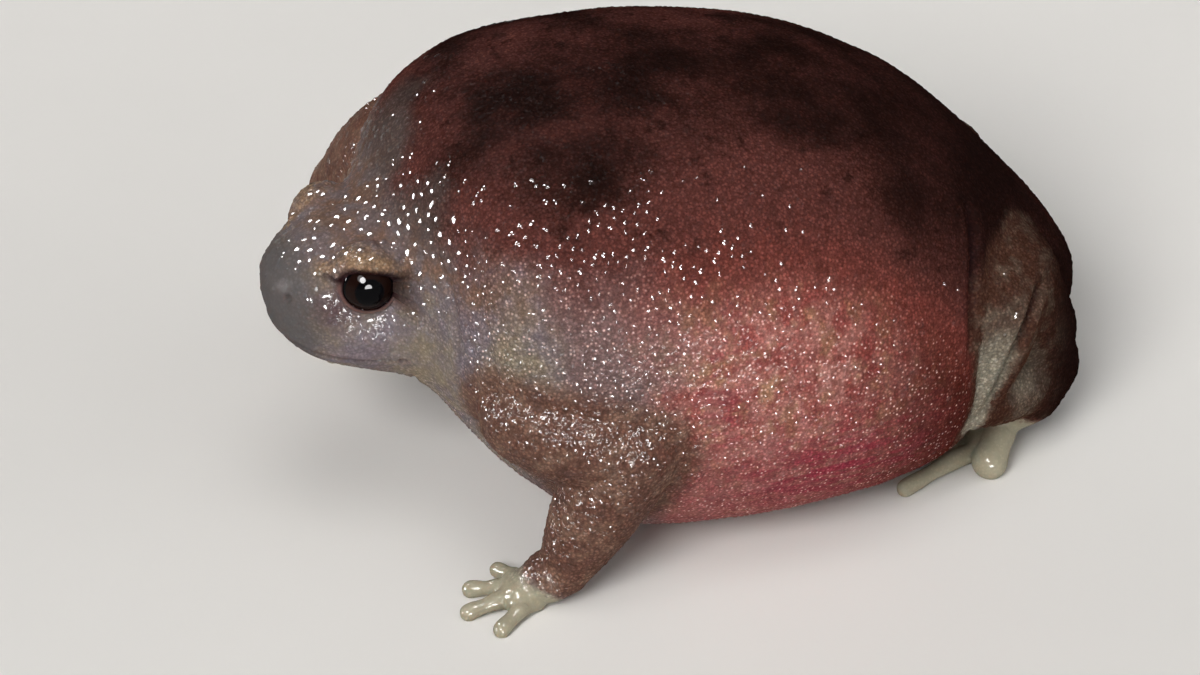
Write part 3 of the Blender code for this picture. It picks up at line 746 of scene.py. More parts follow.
def mark_skin(mesh):
    """Marks which kind of skin is where, and how dense its granules are."""
    places = places_of(mesh)
    head = unturned(to_world(places))
    forward, height = head[:, 0], head[:, 2]
    side = np.abs(head[:, 1])
    arm, leg, thigh, tips = limb_shares(places, forward)

    # The dark of the back, partly its own tone and partly painted shade where the top turns from the
    # light, comes further down behind and over the neck, but not beside it
    behind = np.maximum(-forward, 0)
    top = height + 0.046 * behind**2 + 2.5 * smoothstep(forward, 11.0, 18.0)
    top += 2.2 * hump(forward - 9.5, 4.5) * smoothstep(height, 21.0, 23.5)
    top -= 1.5 * hump(forward - 12.6, 2.2) * hump(height - 21.3, 1.8)
    add_share(mesh, "back", (top - 17.0) / 10.0)
    # Painted shade, deepening towards the rear
    add_share(mesh, "rear", smoothstep(behind, 0.5, 16.0))
    add_share(mesh, "rear_lines", 1 - smoothstep(forward, -2.0, 4.0))
    # Painted shade on the rear of the hind legs
    add_share(mesh, "leg_rear_shade", smoothstep(-forward, 17.5, 21.5))
    above = smoothstep(height, 13.5, 18.0)
    wander = forward + 1.7 * lattice_noise(places / 3.2, 11) + 0.8 * lattice_noise(places / 1.3, 12)
    edge = smoothstep(wander, 2.9, 6.9)
    add_share(mesh, "front", edge + (smoothstep(wander, -2.0, 11.0) - edge) * above)
    add_share(mesh, "neck", smoothstep(wander, 9.0, 14.0))
    yellow = hump(forward - 13.2, 1.0) * hump(height - 16.0, 3.5)
    yellow += hump(forward - 17.5, 1.2) * hump(height - 12.5, 2.0)
    lilac = hump(forward - 15.3, 0.9) * hump(height - 16.0, 2.5)
    lilac += hump(forward - 20.0, 2.0) * hump(height - 13.5, 1.5)
    add_share(mesh, "tint", 0.5 + 0.3 * yellow - 0.3 * lilac)
    add_share(mesh, "head", smoothstep(wander, 13.2, 18.2))
    add_share(mesh, "snout", smoothstep(forward, 21.0, 24.4))
    add_share(mesh, "throat", 1 - smoothstep(height, 15.0, 21.5))
    add_share(mesh, "arm", arm * (1 - tips))
    add_share(mesh, "leg", leg * (1 - tips))
    low = 0.7 * (1 - smoothstep(height, 8.5, 14.5)) + 0.3 * (1 - smoothstep(height, 13.0, 17.0))
    low = thigh * low * smoothstep(forward + 0.35 * (height - 10.8), -16.8, -15.8)
    pale = 0.5 * leg * hump(forward + 18.0, 1.8) * hump(height - 7.4, 2.5)
    add_share(mesh, "leg_low", np.maximum(low, pale))
    add_share(mesh, "ends", tips)
    add_share(mesh, "low", 1 - smoothstep(height, 6.0, 15.0))
    blush = hump(forward + 4.5, 5.0) * hump(height - 7.5, 3.5) * smoothstep(side, 6.0, 10.0)
    ahead = 0.6 * hump(forward - 2.0, 1.5) * hump(height - 13.0, 5.0)
    add_share(mesh, "blush", np.maximum(blush, ahead))
    add_share(mesh, "belly", 1 - smoothstep(height, 0.5, 4.0))
    wet = smoothstep(forward, -9.0, 4.0) * (1 - smoothstep(height, 15.5, 20.0))
    wet *= 1 - 0.5 * smoothstep(forward, 15.0, 17.5) - 0.45 * smoothstep(forward, 20.5, 22.5)
    wet, open_skin = mark_face(mesh, places, wet)
    add_share(mesh, "wet", 0.03 + 0.97 * np.maximum(wet, tips))
    open_skin *= (1 - 0.9 * tips) * (1 - 0.8 * smoothstep(forward, 23.2, 24.4))
    mark_granules(mesh, places, forward, height, open_skin)


def mark_face(mesh, places, wet):
    """Marks lids, brow, nostrils, mouth and creases. Gives the wet and the granular skin there."""
    brow, rim, painted_shade, loreal_shade, shine = np.zeros((5, len(places)))
    open_skin = np.ones(len(places))
    for outer in SIDES.values():
        own, _, _, gap = eye_view(places, outer)
        facing = own[:, 2] > 0
        above = smoothstep(own[:, 1], -0.2, 0.7)
        brow += facing * hump(own[:, 0] + 0.3, 2.1) * hump(own[:, 1] - 1.6, 0.75) * above
        brow += 0.8 * facing * hump(own[:, 0] + 2.9, 1.1) * hump(own[:, 1] - 0.5, 0.6)
        close = (np.linalg.norm(own, axis=1) < 2.8) & facing
        rim += close * hump(gap - 0.06, 0.1) * (1 - above)
        wet = np.maximum(wet, close * hump(gap - 0.35, 0.25) * (1 - above))
        # Painted shade: dark at the slit's edge, a shadow band under the upper lid, and a dark wedge
        # before and behind each eye
        painted_shade += close * (gap < 0.02) + close * above * hump(gap - 0.02, 0.13)
        painted_shade += facing * 0.8 * hump(own[:, 0] - 1.75, 0.35) * hump(own[:, 1] - 0.3, 0.5)
        painted_shade += facing * 0.8 * hump(own[:, 0] + 2.0, 0.5) * hump(own[:, 1] - 0.25, 0.26)
        open_skin *= np.where(close, smoothstep(gap, 0.14, 0.28), 1.0)
        apart = np.linalg.norm(places - side_place(*NOSTRIL, outer), axis=1)
        # Painted shade in each nostril
        painted_shade += 0.9 * hump(apart, 0.2)
        # Painted shade along each crease round the thigh
        for path, _, width in CREASES:
            line = crease_line(places, path, outer)
            distance, index = nearest(places, line, 1.5)
            painted_shade += 0.75 * hump(distance, 0.6 * width) * taper(index, line)
        shine += close * hump(gap - 0.3, 0.16) * (1 - above) * hump(own[:, 0] - 0.2, 1.0)
        # Painted shade, with a purple red tone, in the hollow before each eye
        hollow = np.linalg.norm(places - side_place(*LOREAL, outer), axis=1)
        loreal_shade += hump(hollow, 1.3)
        open_skin *= smoothstep(apart, 0.35, 0.5)
    distance, _ = nearest(places, mouth_line(), 1.0)
    marks = {"brow": brow, "rim": rim, "painted_shade": painted_shade, "loreal_shade": loreal_shade, "shine": shine}
    # Painted shade along the mouth line
    marks["lips"] = hump(distance, 0.16)
    for name, values in marks.items():
        add_share(mesh, name, values)
    wet = np.maximum(wet, 0.35 * np.minimum(brow, 1))
    clear = smoothstep(distance, 0.2, 0.4) * smoothstep(places[:, 2], 0.5, 1.5)
    return wet, open_skin * clear


def mark_granules(mesh, places, forward, height, open_skin):
    """Marks how dense each kind of granule is."""
    on_head = smoothstep(forward, 15.4, 15.8)
    on_front = smoothstep(forward, -0.2, 0.2)
    add_share(mesh, "granules_head", open_skin * on_head * (0.1 + 0.9 * smoothstep(height, 12.5, 15.0)))
    add_share(mesh, "granules_front", open_skin * on_front * (1 - on_head))
    add_share(mesh, "granules_rear", open_skin * (1 - on_front))
    clusters = lattice_noise(places / 1.7, 9) + 0.5 * lattice_noise(places / 0.8, 10)
    body = smoothstep(height, 4.0, 9.0) * (1 - smoothstep(height, 24.6, 25.6))
    few = 0.25 * smoothstep(forward, -18.0, -12.0) * (1 - smoothstep(height, 15.0, 18.0))
    body *= few + 0.75 * smoothstep(forward - 0.8 * np.maximum(height - 16.0, 0), -12.0, 2.0)
    body *= 1 - 0.85 * smoothstep(forward, 10.5, 13.0) * smoothstep(height, 21.0, 23.0)
    body *= (0.4 + 0.6 * smoothstep(clusters, -0.4, 0.3)) * (1 - on_head)
    add_share(mesh, "beads_body", open_skin * body)
    head = 0.5 + 0.5 * smoothstep(clusters, -0.6, 0.2)
    head *= 0.12 + 0.88 * smoothstep(height, 14.5, 17.0)
    head *= 1 - 0.6 * smoothstep(forward, 22.3, 23.6)
    add_share(mesh, "beads_head", open_skin * on_head * head)


class Nodes:
    """Adds nodes to a tree, with each input given as a value or as the socket that it comes from."""

    def __init__(self, tree):
        self.tree = tree

    def add(self, kind, inputs, output=0, **settings):
        node = self.tree.nodes.new(kind)
        for name, value in settings.items():
            setattr(node, name, value)
        for key, value in inputs.items():
            if isinstance(value, bpy.types.NodeSocket):
                self.tree.links.new(value, node.inputs[key])
            else:
                node.inputs[key].default_value = value
        return node.outputs[output]

    def maths(self, operation, first, second):
        return self.add("ShaderNodeMath", {0: first, 1: second}, operation=operation)

    def times(self, first, second):
        return self.maths("MULTIPLY", first, second)

    def minus(self, first, second):
        return self.maths("SUBTRACT", first, second)

    def most(self, first, second):
        return self.maths("MAXIMUM", first, second)

    def vector(self, first, second, operation="ADD", output=0):
        return self.add("ShaderNodeVectorMath", {0: first, 1: second}, output, operation=operation)

    def grey(self, value):
        """One value as a colour."""
        return self.add("ShaderNodeCombineXYZ", {0: value, 1: value, 2: value})

    def stretched(self, place, scale, **settings):
        return self.add("ShaderNodeMapping", {"Vector": place, "Scale": scale, **settings})

    def millimetres(self):
        """The place on the object in millimetres."""
        place = self.add("ShaderNodeTexCoord", {}, "Object")
        return self.stretched(place, (1000.0, 1000.0, 1000.0))

    def level(self, value, low, high, to_low=0.0, to_high=1.0):
        """Value turned smoothly from one range into another."""
        ends = {"From Min": low, "From Max": high, "To Min": to_low, "To Max": to_high}
        return self.add("ShaderNodeMapRange", {"Value": value, **ends}, interpolation_type="SMOOTHSTEP")

    def mix(self, share, first, second, blend_type="MIX"):
        """Second colour over the first, by a share."""
        inputs = {0: share, 6: solid(first), 7: solid(second)}
        return self.add("ShaderNodeMix", inputs, 2, data_type="RGBA", blend_type=blend_type)

    def paint(self, colour, *layers):
        """Colours laid over the first one, each by its share."""
        for share, tone in layers:
            colour = self.mix(share, colour, tone)
        return colour

    def share(self, name):
        return self.add("ShaderNodeAttribute", {}, 2, attribute_name=name)

    def part(self, name, factor):
        """A marked kind of skin, weakened by a factor."""
        return self.times(self.share(name), factor)

    def noise(self, place, scale, detail=2.0, roughness=0.5):
        inputs = {"Vector": place, "Scale": scale, "Detail": detail, "Roughness": roughness}
        return self.add("ShaderNodeTexNoise", inputs)

    def patches(self, name, noise, spread, low=0.3, high=0.7):
        """A marked kind of skin with an uneven edge."""
        shift = self.times(self.minus(noise, 0.5), spread)
        return self.level(self.maths("ADD", self.share(name), shift), low, high)


def solid(colour):
    """A colour with its fourth value, unless it is a socket already."""
    return colour if isinstance(colour, bpy.types.NodeSocket) else (*colour, 1.0)


def new_material(name):
    """A material with only its output, and the nodes helper for it."""
    material = bpy.data.materials.new(name)
    material.use_nodes = True
    material.node_tree.nodes.clear()
    return material, Nodes(material.node_tree)


def finish_material(material, nodes, shader):
    """The material, ended in one shader with the given inputs."""
    surface = nodes.add("ShaderNodeBsdfPrincipled", shader)
    output = nodes.tree.nodes.new("ShaderNodeOutputMaterial")
    nodes.tree.links.new(surface, output.inputs["Surface"])
    return material


def skin_material(look):
    """Wet frog skin: mottled zones of colour with painted shade and glints in places, fine granules and
    a clear film of water.
    """
    material, nodes = new_material("wet_frog_skin")
    place = nodes.millimetres()
    broad = nodes.noise(place, 0.2, 3.0)
    patch = nodes.noise(place, 0.7, 3.0, 0.6)
    fleck = nodes.noise(place, 2.2, 2.0, 0.6)
    grain = nodes.noise(place, 9.0, 2.0, 0.6)
    cell = {"Vector": place, "Scale": 4.4, "Randomness": 0.9}
    dome = nodes.add("ShaderNodeTexVoronoi", cell, "Distance", feature="F1")
    tops = nodes.level(dome, 0.1, 0.65, 1.0, 0.0)

    # Flanks: salmon above, pinker below, with crimson streaks, and painted shade in dark red towards the
    # rear
    other = nodes.stretched(place, (1.2, 1.2, 0.8), Location=(31.0, 7.0, 13.0))
    other = nodes.noise(other, 0.6, 4.0, 0.65)
    colour = nodes.paint(
        look.flank,
        (nodes.level(patch, 0.38, 0.6), look.flank_pale),
        (nodes.level(other, 0.47, 0.66, 0.0, 0.85), look.tan),
        (nodes.part("low", 0.7), look.flank_low),
        (nodes.patches("rear", patch, 0.3, 0.0, 1.0), look.flank_rear_shade),
    )
    slanted = nodes.stretched(place, (0.5, 1.0, 2.4), Rotation=(0.0, 0.7, 0.0))
    streaks = nodes.noise(slanted, 0.9, 3.0, 0.6)
    upright = nodes.noise(nodes.stretched(place, (1.6, 1.6, 0.35)), 1.2, 3.0, 0.6)
    upright = nodes.level(upright, 0.35, 0.65, 0.8, 1.2)
    red = nodes.level(upright, 0.8, 1.2, 0.9, 1.1)
    upright = nodes.add("ShaderNodeCombineXYZ", {0: red, 1: upright, 2: upright})
    colour = nodes.mix(nodes.share("rear_lines"), colour, upright, "MULTIPLY")
    flush = nodes.part("blush", nodes.level(streaks, 0.42, 0.6))
    flushed = (nodes.times(flush, 0.8), look.blush)
    colour = nodes.paint(colour, flushed, (nodes.part("belly", 0.5), look.flank_pale))

    # Shoulders mauve brown, and the neck before them lilac and yellowish in patches
    mottled = nodes.patches("tint", patch, 1.3, 0.1, 0.9)
    mottled = nodes.mix(mottled, look.throat_lilac, look.throat_yellow)
    neck = nodes.mix(nodes.patches("neck", broad, 0.4, 0.1, 0.9), look.shoulder, mottled)
    colour = nodes.mix(nodes.patches("front", broad, 0.3, 0.05, 0.95), colour, neck)

    # Pale dots on many of the granules of the flanks, partly their own pale tips and partly painted
    # glints
    chance = nodes.add("ShaderNodeSeparateXYZ", {0: dome.node.outputs["Color"]})
    dots_and_glints = nodes.times(nodes.level(dome, 0.1, 0.38, 1.0, 0.0), nodes.level(chance, 0.5, 0.98))
    colour = nodes.mix(nodes.times(dots_and_glints, 0.85), colour, look.dots_and_glints)

    # Back: red, then deep red, then nearly black in soft blotches; partly the back's own tone and partly
    # painted shade, deepest where the top and rear turn from the light
    redder = nodes.level(nodes.share("front"), 0.2, 0.9, 1.0, 0.3)
    redder = nodes.times(nodes.patches("back", patch, 0.3, 0.0, 0.5), redder)
    spots = nodes.level(patch, 0.58, 0.7)
    spots = nodes.times(nodes.patches("back", fleck, 0.2, 0.3, 0.7), spots)
    # Painted shade on the rear of the back, laid on below
    behind = nodes.part("rear", nodes.level(nodes.share("back"), 0.4, 0.9))
    colour = nodes.paint(
        colour,
        (redder, look.flank_top),
        (nodes.patches("back", patch, 0.35, 0.15, 0.7), look.back),
        (nodes.patches("back", broad, 0.8, 0.72, 1.12), look.dark_blotch_and_shade),
        (nodes.times(spots, 0.6), look.dark_blotch_and_shade),
        (nodes.times(behind, 0.75), look.dark_blotch_and_shade),
    )

    # Head
    face = nodes.paint(
        look.head,
        (nodes.level(patch, 0.4, 0.65), look.head_warm),
        (nodes.patches("throat", broad, 0.5, 0.2, 0.9), mottled),
        (nodes.patches("back", broad, 0.3, 0.35, 0.8), look.crown),
    )
    colour = nodes.paint(
        colour,
        (nodes.patches("head", broad, 0.4, 0.1, 0.9), face),
        (nodes.patches("snout", broad, 0.2, 0.1, 1.0), look.snout),
        # Painted shade, with a purple red tone, in the hollow before each eye
        (nodes.part("loreal_shade", 0.8), look.loreal_shade),
        (nodes.patches("brow", fleck, 0.9, 0.25, 0.95), look.brow),
    )

    # Limbs
    sleeve = nodes.mix(nodes.level(patch, 0.4, 0.68), look.arm, look.arm_pale)
    hind = nodes.paint(
        look.leg,
        (nodes.level(patch, 0.45, 0.7), look.leg_mauve),
        # Painted shade on the rear of the hind legs
        (nodes.share("leg_rear_shade"), look.dark_blotch_and_shade),
        (nodes.patches("leg_low", patch, 0.4, 0.1, 0.9), look.leg_pale),
    )
    colour = nodes.paint(
        colour,
        (nodes.patches("arm", patch, 0.7, 0.2, 1.1), sleeve),
        (nodes.patches("leg", patch, 0.3, 0.15, 0.85), hind),
        (nodes.patches("ends", patch, 0.2, 0.2, 0.9), look.toes),
    )

    # Lid rims, and painted shade along the mouth, at the eyes' corners, in the nostrils and in the
    # creases
    colour = nodes.paint(
        colour,
        (nodes.part("rim", 0.75), look.rim),
        # Painted shade along the mouth line
        (nodes.part("lips", 0.6), look.painted_shade),
        # Painted shade at the eyes' corners, under the upper lids, in the nostrils and in the thigh
        # creases
        (nodes.share("painted_shade"), look.painted_shade),
    )

    # Each granule is a little paler on top and darker round its foot, partly its own tone and partly
    # painted shade of its relief, and fine flecks of both tones lie between them
    smooth = nodes.most(nodes.share("rim"), nodes.part("ends", 0.9))
    smooth = nodes.most(smooth, nodes.part("snout", 0.9))
    plain = nodes.minus(nodes.share("head"), nodes.share("brow"))
    smooth = nodes.most(smooth, nodes.times(plain, 0.5))
    rough = nodes.minus(1.0, smooth)
    shade = nodes.level(tops, 0.0, 1.0, 0.74, 1.26)
    shade = nodes.times(shade, nodes.level(grain, 0.3, 0.7, 0.78, 1.24))
    shade = nodes.times(shade, nodes.level(fleck, 0.3, 0.7, 0.84, 1.16))
    shaded = nodes.level(rough, 0.0, 1.0, 0.15, 1.0)
    colour = nodes.mix(shaded, colour, nodes.grey(shade), "MULTIPLY")

    # The film of water stands in beads over the granules, so that it sparkles far round
    bent = nodes.noise(place, 1.6, 2.0, 0.6)
    bent = nodes.vector(place, nodes.add("ShaderNodeCombineXYZ", {0: bent, 2: bent}))
    cell = {"Vector": bent, "Scale": look.bead_scale, "Randomness": 1.0}
    bead = nodes.add("ShaderNodeTexVoronoi", cell, "Distance", feature="F1")
    bead = nodes.minus(1.0, nodes.times(bead, bead))
    drops = nodes.most(nodes.share("bead"), nodes.share("shine"))
    even = nodes.minus(1.0, drops)
    water = nodes.part("wet", look.wetness)
    beads = nodes.times(nodes.times(bead, rough), even)
    film = nodes.add("ShaderNodeBump", {"Height": beads, "Distance": look.bead_depth})
    bumps = {"Height": nodes.times(tops, rough), "Distance": look.grain_depth}
    surface = nodes.add("ShaderNodeBump", bumps)
    bumps = {"Height": nodes.times(grain, rough), "Distance": 0.5 * look.grain_depth}
    surface = nodes.add("ShaderNodeBump", {**bumps, "Normal": surface})
    shader = {
        "Base Color": colour,
        "Roughness": nodes.level(fleck, 0.3, 0.7, 0.42, 0.6),
        "IOR": 1.4,
        "Specular IOR Level": 0.0,
        "Subsurface Weight": look.flesh,
        "Subsurface Radius": (1.0, 0.4, 0.25),
        "Subsurface Scale": look.flesh_depth,
        "Coat Weight": nodes.most(water, nodes.times(drops, look.drop_shine)),
        "Coat Roughness": look.wet_roughness,
        "Coat IOR": 1.5,
        "Normal": surface,
        "Coat Normal": film,
    }
    return finish_material(material, nodes, shader)


def eye_material(look):
    """Nearly black eye with a dim brown ring, under a clear wet surface."""
    material, nodes = new_material("wet_eye")
    place = nodes.millimetres()
    streaks = nodes.noise(place, 5.0, 3.0, 0.7)
    colour = nodes.mix(nodes.patches("iris", streaks, 0.5, 0.25, 0.9), look.pupil, look.iris)
    colour = nodes.mix(nodes.share("white"), colour, look.edge)
    shader = {
        "Base Color": colour,
        "Roughness": nodes.level(streaks, 0.3, 0.7, 0.3, 0.5),
        "Specular IOR Level": 0.0,
        "Coat Weight": 0.7,
        "Coat Roughness": 0.02,
        "Coat IOR": 1.19,
    }
    return finish_material(material, nodes, shader)


def floor_material(look):
    """Pale matt studio floor."""
    material, nodes = new_material("pale_floor")
    place = nodes.add("ShaderNodeTexCoord", {}, "Object")
    cloud = nodes.noise(place, 14.0, 4.0)
    darker = tuple(0.94 * part for part in look.floor)
    colour = nodes.mix(nodes.level(cloud, 0.3, 0.7), look.floor, darker)
    shader = {"Base Color": colour, "Roughness": 0.8, "Specular IOR Level": 0.0}
    return finish_material(material, nodes, shader)


def granule_tree():
    """Geometry Nodes that scatter low rounded granules over a surface."""
    tree = bpy.data.node_groups.new("Granules", "GeometryNodeTree")
    sockets = {
        "Surface": "Geometry",
        "Where": "String",
        "Spacing": "Float",
        "Radius": "Float",
        "Height": "Float",
        "Sides": "Int",
        "Bead": "Float",
        "Seed": "Int",
        "Skin": "Material",
    }
    for name, kind in sockets.items():
        tree.interface.new_socket(name, in_out="INPUT", socket_type=f"NodeSocket{kind}")
    tree.interface.new_socket("Granules", in_out="OUTPUT", socket_type="NodeSocketGeometry")
    nodes = Nodes(tree)
    given = tree.nodes.new("NodeGroupInput").outputs
    spacing = given["Spacing"]
    most = nodes.maths("DIVIDE", 4.0, nodes.times(spacing, spacing))
    where = nodes.add("GeometryNodeInputNamedAttribute", {"Name": given["Where"]}, data_type="FLOAT")
    scatter = {
        "Mesh": given["Surface"],
        "Distance Min": spacing,
        "Density Max": most,
        "Density Factor": where,
        "Seed": given["Seed"],
    }
    points = nodes.add("GeometryNodeDistributePointsOnFaces", scatter, distribute_method="POISSON")
    rotation = points.node.outputs["Rotation"]

    # One granule is a low dome with its rim just under the skin, drawn from a small cone
    parts = {"Vertices": given["Sides"], "Side Segments": 3, "Radius Top": 0.0, "Radius Bottom": 1.0}
    cone = nodes.add("GeometryNodeMeshCone", parts, fill_type="NONE")
    place = nodes.add("GeometryNodeInputPosition", {})
    flat = nodes.vector(place, (1.0, 1.0, 0.0), "MULTIPLY")
    square = nodes.vector(flat, flat, "DOT_PRODUCT", "Value")
    rise = nodes.most(nodes.minus(1.0, square), 0.0)
    rise = nodes.minus(nodes.maths("POWER", rise, 1.3), 0.12)
    raised = nodes.vector(flat, nodes.add("ShaderNodeCombineXYZ", {2: rise}))
    dome = nodes.add("GeometryNodeSetPosition", {"Geometry": cone, "Position": raised})
    dome = nodes.add("GeometryNodeSetShadeSmooth", {"Geometry": dome})
    bead = {"Geometry": dome, "Name": "bead", "Value": given["Bead"]}
    dome = nodes.add("GeometryNodeStoreNamedAttribute", bead, data_type="FLOAT", domain="POINT")

    sizes = {"Min": (0.75, 0.6, 0.5), "Max": (1.2, 1.0, 1.25), "Seed": given["Seed"]}
    size = nodes.add("FunctionNodeRandomValue", sizes, data_type="FLOAT_VECTOR")
    span = {0: given["Radius"], 1: given["Radius"], 2: given["Height"]}
    size = nodes.vector(size, nodes.add("ShaderNodeCombineXYZ", span), "MULTIPLY")
    placed = {"Points": points, "Instance": dome, "Rotation": rotation, "Scale": size}
    domes = nodes.add("GeometryNodeInstanceOnPoints", placed)
    spin = {"Min": (0.0, 0.0, 0.0), "Max": (0.0, 0.0, 2 * math.pi), "Seed": given["Seed"]}
    spin = nodes.add("FunctionNodeRandomValue", spin, data_type="FLOAT_VECTOR")
    domes = nodes.add("GeometryNodeRotateInstances", {"Instances": domes, "Rotation": spin})
    meshes = nodes.add("GeometryNodeRealizeInstances", {"Geometry": domes})
    painted = nodes.add("GeometryNodeSetMaterial", {"Geometry": meshes, "Material": given["Skin"]})
    result = tree.nodes.new("NodeGroupOutput")
    tree.links.new(painted, result.inputs["Granules"])
    return tree


def skin_object():
    """The finished skin, which granules are made on."""
    skin = bpy.data.objects.get("frog_skin")
    if skin is None:
        raise RuntimeError("the skin is made before its granules")
    return skin


def smooth_shade(mesh):
    mesh.polygons.foreach_set("use_smooth", np.ones(len(mesh.polygons), bool))
    mesh.update()


def add_object(name, mesh):
    obj = bpy.data.objects.new(name, mesh)
    bpy.context.scene.collection.objects.link(obj)
    return obj


def direction(turn, rise):
    """The way from the frog out to an azimuth and elevation."""
    flat = math.cos(rise)
    return Vector((math.sin(turn) * flat, -math.cos(turn) * flat, math.sin(rise)))


def soft_light(name, azimuth, elevation, spread, strength):
    """Adds a light from one direction, as wide as a soft box seen from the frog."""
    light = bpy.data.lights.new(name, "SUN")
    light.angle = math.radians(spread)
    light.energy = strength
    obj = add_object(name, light)
    out = direction(math.radians(azimuth), math.radians(elevation))
    obj.location = out * LIGHT_DISTANCE
    obj.rotation_euler = out.to_track_quat("Z", "Y").to_euler()
    return obj


def add_room(look):
    """Adds plain pale walls and a dimmer ceiling all round, as light from far away."""
    world = bpy.data.worlds.new("Room")
    world.use_nodes = True
    world.node_tree.nodes.clear()
    nodes = Nodes(world.node_tree)
    way = nodes.add("ShaderNodeTexCoord", {}, "Generated")
    height = nodes.add("ShaderNodeSeparateXYZ", {0: way}, "Z")
    light = nodes.level(height, 0.02, 0.3, look.walls, look.ceiling)
    sky = nodes.add("ShaderNodeBackground", {"Color": (1.0, 0.985, 0.965, 1.0), "Strength": light})
    output = world.node_tree.nodes.new("ShaderNodeOutputWorld")
    world.node_tree.links.new(sky, output.inputs["Surface"])
    bpy.context.scene.world = world


def add_camera():
    """Adds the camera with the photograph's view of the frog."""
    back = direction(CAMERA_AZIMUTH, CAMERA_ELEVATION)
    right = Vector((math.cos(CAMERA_AZIMUTH), math.sin(CAMERA_AZIMUTH), 0.0))
    up = back.cross(right)
    pixel = PICTURE_WIDTH / PICTURE_PIXELS[0]
    aim = Vector(to_world(BODY_SPOT) * MM)
    aim += right * (PICTURE_PIXELS[0] / 2 - BODY_PIXEL[0]) * pixel
    aim += up * (BODY_PIXEL[1] - PICTURE_PIXELS[1] / 2) * pixel
    data = bpy.data.cameras.new("Camera")
    data.sensor_width = SENSOR_WIDTH
    data.lens = SENSOR_WIDTH * CAMERA_DISTANCE / PICTURE_WIDTH
    data.clip_start = 0.01
    camera = add_object("Camera", data)
    place = Matrix((right, up, back)).transposed().to_4x4()
    place.translation = aim + back * CAMERA_DISTANCE
    camera.matrix_world = place
    bpy.context.scene.camera = camera


def length_property(name, about, default, least=0.0, precision=5):
    return FloatProperty(
        name=name, description=about, default=default, min=least, unit="LENGTH", precision=precision
    )


def share_property(name, about, default):
    return FloatProperty(
        name=name, description=about, subtype="FACTOR", default=default, min=0.0, max=1.0
    )


def strength_property(name, about, default, least=0.0):
    return FloatProperty(name=name, description=about, default=default, min=least)


def colour_property(name, about, default):
    return FloatVectorProperty(
        name=name, description=about, subtype="COLOR", default=default, min=0.0, max=1.0
    )


